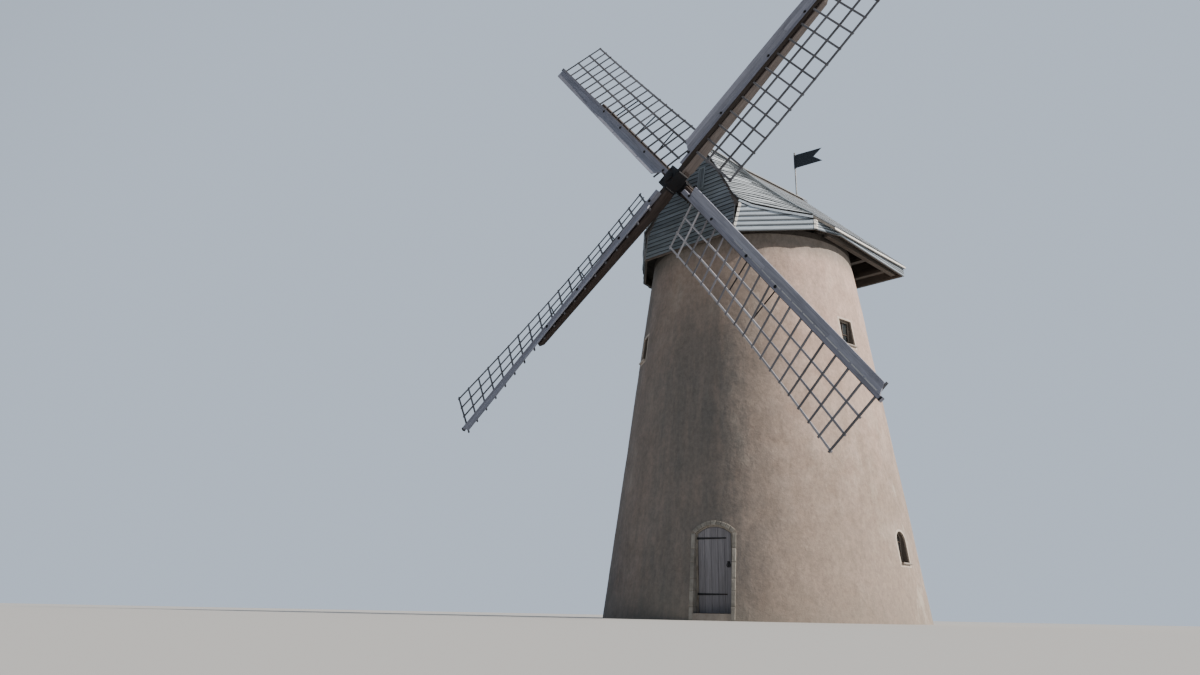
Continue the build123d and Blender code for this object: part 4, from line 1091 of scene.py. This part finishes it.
        # narrow board on the lower edge of the bow roof
        nb = Vector((0.66 * s, -0.75, 0))
        eb = MB()
        low = [Vector((q[0] * s, q[1], q[2] - 0.052)) + nb * 0.004 for q in rows[-1]]
        timber(eb, low, (0, 0, 1), 0.062, 0.012, 0.003, 0.7)
        eb.obj("bow_edge_board_" + side, [MAT["skirt"]], "cap", slot="cap_boards")
        # fascia along the edge of the side roof
        timber(ends, [(3.208 * s, -0.815, 9.765), (3.208 * s, 1.2, 9.818), (3.208 * s, 3.188, 9.870)], (0, 0, 1), 0.058, 0.018, 0.004, 0.6)
        # painted sunlight: board ends and fascia are white on the sunlit right side and take the cap colour on the
        # shaded left
        ends.obj("skirt_ends_" + side, [MAT["painted_sunlit_white"] if s > 0 else MAT["cap"]], "cap", slot="cap_boards")
        N["skirt_" + side].data.materials.clear(); N["skirt_" + side].data.materials.append(MAT["capdark"])
        # narrow corner board on the front wall, beside the skirt
        mb = MB()
        p0, p1 = Vector(on_front(1.488 * s, 9.478, 0.030)), Vector(on_front(1.488 * s, 10.30, 0.030))
        timber(mb, [p0, p1], (1, 0, 0), 0.030, 0.022, 0.004, 0.5)
        mb.obj("corner_board_" + side, [MAT["cap"]], "cap", slot="cap_boards")
    # narrow boards that close the gap between the front wall and the underside of the verge
    for s, side in ((1, "right"), (-1, "left")):
        mb = MB()
        W = [(1.478, 10.230), (1.478, 10.308), (1.345, 10.618), (1.205, 10.908), (1.040, 11.188), (0.755, 11.668), (0.440, 12.123), (0.110, 12.560)]
        O = [(1.600, 10.262), (1.612, 10.350), (1.418, 10.560), (1.290, 10.815), (1.125, 11.085), (0.838, 11.585), (0.530, 12.035), (0.150, 12.560)]
        for i in range(len(W) - 1):
            V = []
            for off in (0.002, 0.026):
                for x, z in (W[i], O[i], O[i + 1], W[i + 1]):
                    V.append(on_front(x * s - 0.03 * s * (x in (W[i][0], W[i + 1][0])), z, off))
            mb.add(V, [(0, 1, 2, 3), (7, 6, 5, 4), (0, 4, 5, 1), (1, 5, 6, 2), (2, 6, 7, 3), (3, 7, 4, 0)], V, rnd(0.3, 0.8))
        mb.obj("verge_closer_" + side, [MAT["closer"]], "cap", slot="cap_timber")
    # board along the foot of the front wall
    mb = MB()
    timber(mb, [on_front(-1.47, 9.486, 0.024), on_front(0, 9.486, 0.024), on_front(1.47, 9.486, 0.024)], (0, 0, 1), 0.060, 0.034, 0.006, 0.5)
    mb.obj("front_foot_board", [MAT["capbrown"]], "cap", slot="cap_timber")

    # front wall boards
    prof = [(9.488, 1.478), (10.308, 1.478), (10.618, 1.345), (10.908, 1.205), (11.188, 1.040), (11.668, 0.755), (12.123, 0.440), (12.728, 0.0)]
    zz, xx = [p[0] for p in prof], [p[1] for p in prof]
    levels = np.linspace(9.478, 12.66, 24)
    R = [[on_front(-float(np.interp(z, zz, xx)), z), on_front(float(np.interp(z, zz, xx)), z)] for z in levels[::-1]]
    S = Surf(R, 9)
    cz = HUB[2] - (HUB[1] * -1 - 2.60) * math.tan(TILT)

    def skip(v0, v1, spans):
        za, zb = 9.478 + v0 * 3.182, 9.478 + v1 * 3.182
        zc_ = 11.082
        d = 0.0 if za <= zc_ <= zb else min(abs(za - zc_), abs(zb - zc_))
        if d >= 0.205:
            return spans
        h = math.sqrt(0.205 ** 2 - d * d)
        W = float(np.interp((za + zb) / 2, zz, xx))
        return [(0.0, 0.5 - h / (2 * W)), (0.5 + h / (2 * W), 1.0)]
    mb = MB()
    courses(mb, S, (0, -1, 0.17), expo=0.130, low=0.032, high=0.009, blen=(1.6, 3.0), skip=skip, step=0.4)
    mb.obj("front_boards", [MAT["front"]], "cap", slot="cap_boards")
    N["front_wall"].data.materials.clear(); N["front_wall"].data.materials.append(MAT["capdark_x"])

    # hatch beside the shaft: frame and boards
    mb = MB()
    x0, x1, z0, z1 = 0.150, 0.345, 11.228, 11.898
    for (xa, za), (xb, zb) in (((x0, z0), (x0, z1)), ((x1, z0), (x1, z1)), ((x0, z1), (x1, z1)), ((x0, z0), (x1, z0))):
        ex = 0.016 if xa == xb else 0.0
        up = (1, 0, 0) if xa == xb else (0, 0, 1)
        timber(mb, [on_front(xa, za - ex, 0.046), on_front(xb, zb + ex, 0.046)], up, 0.030, 0.020, 0.004, 0.85)
    for i in range(2):
        xm = x0 + 0.05 + i * 0.095
        timber(mb, [on_front(xm, z0 + 0.012, 0.040), on_front(xm, z1 - 0.012, 0.040)], (1, 0, 0), 0.088, 0.014, 0.004, 0.1)
    mb.obj("hatch_boards", [MAT["front"]], "cap", slot="cap_boards")
    N["shaft_hatch"].data.materials.clear(); N["shaft_hatch"].data.materials.append(MAT["capdark"])

    # rear gable boards
    mb = MB()
    levels = np.linspace(9.597, 12.93, 24)
    R = [[(-max(min(3.1, (12.99 - z) / 0.997), 0.01), 3.130, z), (max(min(3.1, (12.99 - z) / 0.997), 0.01), 3.130, z)] for z in levels[::-1]]
    S = Surf(R, 17)
    courses(mb, S, (0, 1, 0), expo=0.150, low=0.030, high=0.011, blen=(2.0, 3.4), step=0.5)
    mb.obj("rear_boards", [MAT["cap"]], "cap", slot="cap_boards")
    N["rear_wall"].data.materials.clear(); N["rear_wall"].data.materials.append(MAT["capdark"])

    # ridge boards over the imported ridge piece
    mb = MB()
    for s in (-1, 1):
        timber(mb, [(0.072 * s, -0.30, 12.853 + 0.012), (0.072 * s, 1.45, 12.975 + 0.012), (0.072 * s, 3.205, 13.097 + 0.012)], (0.71 * s, 0, -0.70), 0.19, 0.022, 0.004)
        timber(mb, [(0.060 * s, -0.28, 12.870), (0.060 * s, -1.3, 12.875), (0.060 * s, -2.40, 12.880)], (0.66 * s, 0, -0.75), 0.16, 0.022, 0.004)
    mb.obj("ridge_boards", [MAT["cap"]], "cap", slot="cap_boards")
    N["ridge_cap"].data.materials.clear(); N["ridge_cap"].data.materials.append(MAT["capdark"])

    for nm, m in (("sheers", "capdark_x"), ("cross_timbers", "capdark"), ("side_plates", "capdark_x"), ("beam_posts", "capdark"), ("weather_beam", "capdark"),
                  ("tail_beam", "capdark"), ("neck_bearing", "brass"), ("tail_bearing", "brass"), ("vane_pole", "pole")):
        N[nm].data.materials.clear(); N[nm].data.materials.append(MAT[m])
    N["curb_ring"].data.materials.clear(); N["curb_ring"].data.materials.append(MAT["capdark"])
    N["ground_floor"].data.materials.clear(); N["ground_floor"].data.materials.append(MAT["flag"])
    N["upper_floor"].data.materials.clear(); N["upper_floor"].data.materials.append(MAT["floorb"])


# ------------------------------------------------------------------ sails
EX = Vector((1, 0, 0))
EY = Vector((0, math.sin(TILT), math.cos(TILT)))
NN = Vector((0, -math.cos(TILT), math.sin(TILT)))


def weather(s, curve):
    g = (s - S0) / (N_BAYS * BAY)
    return math.radians(curve[0] + curve[1] * g + curve[2] * g * g)


def whip_c(s):
    """Leading and driving edge of a whip."""
    k = (s - 0.8) / 8.4
    return 0.045 + 0.031 * k, -(0.092 - 0.066 * k)


def whip_t(s):
    return 0.148 - 0.060 * (s - WHIP_S0) / (WHIP_S1 - WHIP_S0)


class SailFrame:
    def __init__(self, deg, off):
        th = math.radians(deg)
        self.u = EX * math.cos(th) + EY * math.sin(th)
        self.y = NN.cross(self.u)
        self.o = HUB + NN * off

    def p(self, s, y, z):
        return self.o + self.u * s + self.y * y + NN * z

    def d(self, s, y, z):
        return self.u * s + self.y * y + NN * z


def make_sail(name):
    deg, off, curve = SAILS[name]
    A = SailFrame(deg, off)

    def lat(s, c, up=0.0, dw=0.0):
        w = weather(s, curve) + dw
        return A.p(s, -c * math.cos(w) - up * math.sin(w), BAR_Z - c * math.sin(w) + up * math.cos(w))

    def nrm(s):
        w = weather(s, curve)
        return A.d(0, -math.sin(w), math.cos(w))

    def board(s, a, t):
        """Point on the leading board: a runs from 0 beside the whip to 1 at the outer edge, t is the height above its middle."""
        w = weather(s, curve)
        y0 = whip_c(s)[0] + 0.010
        z0 = max(0.034, BAR_Z + y0 * math.tan(w) + 0.034)
        z1 = max(float(np.interp(s, *EDGE_Z)), BAR_Z + EDGE_Y * math.tan(w) + 0.034)
        b = math.atan2(z1 - z0, EDGE_Y - y0)
        y, z = y0 + (EDGE_Y - y0) * a, z0 + (z1 - z0) * a
        if a == 0.0:
            y -= 0.009
        return A.p(s, y - t * math.sin(b), z + t * math.cos(b)), math.hypot(EDGE_Y - y0, z1 - z0)

    # bars, let through the whip and carried on behind the leading board
    mb = MB()
    sh = {"ur": -0.018, "ul": -0.015, "ll": 0.035, "lr": 0.0}[name]
    nub = {"ur": (0.030, 0.046), "ul": (-0.016, -0.004), "ll": (0.030, 0.044), "lr": (-0.016, -0.004)}[name]
    longs = C_OF.get(name, C_LONG)
    ml = MB() if name == "lr" else mb
    for k in range(N_BAYS + 1):
        s = S0 + BAY * k + (rnd(-0.006, 0.006) + sh if 0 < k < N_BAYS else 0.0)
        dw = rnd(-0.006, 0.006)
        e = rnd(0.036, 0.056)
        c0 = -(EDGE_Y + (0.034 if (name, k) in (("lr", N_BAYS), ("ul", 0)) else rnd(*nub))) / math.cos(weather(s, curve))
        bw = 0.066 if (name, k) == ("ur", 0) else 0.052
        # painted light: on the lower-right sail the first two bars take the lit lath colour, the next six the half-lit
        # one
        pale = name == "lr" and k <= 7
        timber(ml if pale else mb, [lat(s, c, rnd(-0.0012, 0.0012), dw) for c in (c0, -0.10, 0.10, 0.45, 0.8, 1.15, longs[2] + e)], A.u, bw, [0.034, 0.034, 0.034, 0.033, 0.031, 0.029, 0.027], 0.005, mat=1 if pale and k > 1 else 0)
    for ci, c in enumerate(longs):
        st = [S0 - 0.055] + [S0 + BAY * k for k in range(0, N_BAYS + 1)] + [S0 + BAY * N_BAYS + 0.052]
        cut = 9 + (ci % 2) * 2
        for part in (st[:cut + 1], st[cut:]):
            pts = [lat(s, c, -0.006) for s in part]
            xd = [A.d(0, -math.cos(weather(s, curve)), -math.sin(weather(s, curve))) for s in part]
            # painted light: the lower-right sail's longs take the lit lath colour, the outer lengths of the two inner
            # longs the half-lit one
            timber(ml, pts, xd, 0.052 if name == "lr" else 0.062, 0.024, 0.004, wob=0.0015, mat=1 if name == "lr" and part is not st[:cut + 1] and part[0] > 3.0 and ci < 2 else 0)
        for k in range(N_BAYS + 1):
            s = S0 + BAY * k
            p = lat(s, c, 0.0162)
            cyl(mb, p, p + nrm(s) * 0.004, 0.010, 0.008, 6, 0.02)
    node = {"ur": "sail_frame_upper_right", "ul": "sail_frame_upper_left", "ll": "sail_frame_lower_left", "lr": "sail_frame_lower_right"}[name]
    mb.obj("lattice_" + name, [MAT["lath"]], "sails", slot="sail_lattice", replaces=(node,))
    if name == "lr":
        ml.obj("laths_" + name, [MAT["painted_lit_lath"], MAT["painted_midlit_lath"]], "sails", slot="sail_lattice")

    # whip
    mb = MB()
    ss = np.linspace(WHIP_S0, WHIP_S1, 28)
    pts = [A.p(s, sum(whip_c(s)) / 2, 0) for s in ss]
    # the driving side face of the whip takes a near-black colour of its own
    timber(mb, pts, A.y, [whip_c(s)[0] - whip_c(s)[1] for s in ss], [whip_t(s) for s in ss], 0.010, 0.5, wob=0.0012, side=1)
    mb.obj("whip_" + name, [MAT["sail"], MAT["dark_whip_side"]], "sails", slot="sail_timber", replaces=("whips",) if name == "ur" else ())

    # leading board: long planks edge to edge, butted end to end, lying on the bars; its inner end is cut obliquely
    mb = MB()
    ends = {"ur": (0.80, 1.00), "ul": (0.82, 1.03), "ll": (0.80, 0.98), "lr": (0.80, 0.90)}[name]
    for row, (a, b) in enumerate(((0.0, 0.497), (0.503, 1.0))):
        cuts = [None, 3.4 if row else 4.7, 6.4 if row else 7.4, None]
        for i in range(3):
            jz = rnd(-0.0015, 0.0015)
            tone, go = rnd(), rnd(0, 90)
            V, G, F = [], [], []
            n = 13
            for j in range(n):
                k = j / (n - 1)
                for aa, t in ((a, -0.014), (b, -0.014), (b, 0.014), (a, 0.014)):
                    s0 = ends[0] + (ends[1] - ends[0]) * aa if i == 0 else cuts[i] + 0.002
                    s1 = BOARD_S1 - 0.002 - 0.11 * aa if i == 2 else cuts[i + 1] - 0.002
                    s = s0 + (s1 - s0) * k
                    q, L = board(s, aa, t + jz)
                    V.append(q)
                    G.append((s + go, aa * L + go, t))
            for j in range(n - 1):
                o = j * 4
                for c in range(4):
                    d = (c + 1) % 4
                    F.append((o + c, o + d, o + 4 + d, o + 4 + c))
            F.append((3, 2, 1, 0)); F.append(tuple((n - 1) * 4 + c for c in range(4)))
            mb.add(V, F, G, tone)
    st = [BOARD_S0 + 0.03 + (BOARD_S1 - BOARD_S0 - 0.05) * i / 16 for i in range(17)]
    timber(mb, [A.p(s, whip_c(s)[0] + 0.010, max(whip_t(s) / 2 - 0.007, 0.046)) for s in st], A.y, 0.040, 0.012, 0.003, 0.5)
    mb.obj("leading_board_" + name, [MAT["board"]], "sails", slot="leading_board", replaces=("leading_boards",) if name == "ur" else ())
    if name == "lr":
        # fillet over the joint between whip and board, in bay lengths
        mb = MB()
        for k in range(5, N_BAYS):
            sa, sb = S0 + BAY * k + 0.030, S0 + BAY * (k + 1) - 0.030
            pts = [board(s, 0.04, 0.020)[0] for s in (sa, (sa + sb) / 2, sb)]
            timber(mb, pts, A.y, 0.016 + 0.012 * min(1, (k - 5) / 4), 0.012, 0.003, rnd(0.7, 1.0))
        mb.obj("fillet_" + name, [MAT["fillet"]], "sails", slot="sail_timber")

    # clamping bolts through whip and stock, with large plates, and back stays
    mb = MB()
    for s in (0.82, 2.12, 3.96, 5.33):
        yc = whip_c(s)[0] - 0.030
        z = whip_t(s) / 2
        x = A.p(s, yc, z)
        cyl(mb, x - NN * 0.004, x + NN * 0.010, 0.044, 0.042, 20)
        cyl(mb, x + NN * 0.010, x + NN * 0.030, 0.024, 0.022, 6)
        cyl(mb, x + NN * 0.030, x + NN * 0.042, 0.012, 0.011, 10)
        zb = (-0.402 + 0.159 * (s - 0.5) / (STOCK_S - 0.62)) if name in ("ur", "ll") else (-0.357 + 0.154 * (s - 0.5) / (STOCK_S - 0.62))
        xb = A.p(s, min(yc, 0.04), zb)
        cyl(mb, xb + NN * 0.004, xb - NN * 0.010, 0.044, 0.042, 20)
        cyl(mb, xb - NN * 0.010, xb - NN * 0.030, 0.024, 0.022, 6)
    # end cap on the whip's tip
    s = WHIP_S1
    timber(mb, [A.p(s - 0.050, sum(whip_c(s)) / 2, 0), A.p(s - 0.001, sum(whip_c(s)) / 2, 0)], A.y, whip_c(s)[0] - whip_c(s)[1] + 0.006, whip_t(s) + 0.006, 0.010, 0.3)
    mb.obj("clamps_" + name, [MAT["iron"]], "sails", slot="black_iron")
    mb = MB()
    k3, k6, k9 = S0 + BAY * 3, S0 + BAY * 6, S0 + BAY * 9
    for sa, sb in {"ul": ((2.14, 2.24), (3.51, 3.56), (5.02, 4.90)), "lr": ((3.80, 3.84), (5.18, 5.06))}.get(name, ((k3, k3), (k6, k6), (k9, k9))):
        zb = -0.357 + 0.154 * (sa - 0.5) / (STOCK_S - 0.62)
        timber(mb, [A.p(sa, -0.060, zb + 0.03), lat(sb, longs[1] + 0.03, -0.034)], A.u, 0.042 if name == "ul" else 0.032, 0.026, 0.004, 0.3)
    mb.obj("stays_" + name, [MAT["iron"]], "sails", slot="black_iron")


def make_stock(name, deg, off, zm, z0, z1, hw):
    """zm is the back of the stock at the crossing, z0 and z1 at its root and near its end, hw its half width near the end."""
    A = SailFrame(deg, off)
    M = STOCK_S - 0.12
    half = [(0.0, 0.1295, zm, -0.0775), (0.380, 0.1295, zm, -0.0775), (0.500, 0.1295, z0, -0.0775)]
    for s in np.linspace(0.5, M, 12)[1:]:
        g = (s - 0.5) / (M - 0.5)
        half.append((float(s), 0.1295 + (hw - 0.1295) * g, z0 + (z1 - z0) * g, -0.0775))
    half += [(STOCK_S - 0.055, hw * 0.93, z1 + 0.040, -0.081), (STOCK_S - 0.002, hw * 0.85, z1 + 0.078, -0.086)]
    for sg, tail in ((1, "a"), (-1, "b")):
        mb = MB()
        pts = [A.p(sg * s, 0, (c + d) / 2 + 0.0005) for s, b, c, d in half]
        # painted light: the driving side face of each stock's first half takes the lighter brown
        timber(mb, pts, A.y * sg, [2 * b for s, b, c, d in half], [d - c - 0.001 for s, b, c, d in half], 0.020, 0.5, wob=0.0008, side=1 if sg > 0 else None)
        mb.obj("stock_timber_%s_%s" % (name, tail), [MAT["stock"], MAT["lit_stock_side"]], "sails", slot="stock_timber", replaces=("stock_" + name,) if sg > 0 else ())


def make_hub():
    mb = MB()
    A, B = SailFrame(TH_A, OFF_A), SailFrame(TH_B, OFF_B)
    # ribs and nuts on the two sleeves
    for fr, z1, z0, e in ((A, 0.083, -0.298, 0.262), (B, -0.052, -0.438, 0.225)):
        for s in (-e, e):
            for y in (-0.194, 0.194):
                timber(mb, [fr.p(s, y, z1), fr.p(s, y, z0)], fr.u, 0.040, 0.016, 0.006, 0.4)
            if fr is A:
                timber(mb, [fr.p(s, -0.180, z1 + 0.006), fr.p(s, 0.180, z1 + 0.006)], fr.u, 0.036, 0.020, 0.006, 0.4)
    for sx in (-0.19, 0.19):
        for sy in (-0.14, 0.14):
            bolt(mb, A.p(sx, sy, 0.085), NN, 0.020, 0.016)
    # centre boss with a ring of nuts
    c = HUB + NN * 0.050
    cyl(mb, c, c + NN * 0.048, 0.115, 0.105, 28, dome=0.02)
    for k in range(6):
        a = k * math.pi / 3
        p = c + (EX * math.cos(a) + EY * math.sin(a)) * 0.075 + NN * 0.050
        cyl(mb, p, p + NN * 0.020, 0.013, 0.012, 6)
    mb.obj("poll_fittings", [MAT["iron"]], "sails", slot="black_iron")
    # wedges driven beside the stocks at the mouths of the sleeves
    mb = MB()
    for fr in (A, B):
        for sg in (-1, 1):
            for y in (-0.152, 0.152):
                timber(mb, [fr.p(sg * 0.22, y, -0.22), fr.p(sg * 0.40, y * 0.96, -0.22)], fr.y, [0.040, 0.024], 0.16, 0.008)
    mb.obj("poll_wedges", [MAT["stock"]], "sails", slot="stock_timber")
    N["poll_end"].data.materials.clear(); N["poll_end"].data.materials.append(MAT["iron"])
    N["windshaft"].data.materials.clear(); N["windshaft"].data.materials.append(MAT["shaft"])


def make_vane():
    N["vane_banner"].data.materials.clear(); N["vane_banner"].data.materials.append(MAT["vane"])


make_tower()
make_door()
make_windows()
make_cap()
for nm in SAILS:
    make_sail(nm)
make_stock("outer", TH_A, OFF_A, -0.370, -0.402, -0.243, 0.118)
make_stock("inner", TH_B, OFF_B, -0.357, -0.357, -0.203, 0.075)
make_hub()
make_vane()
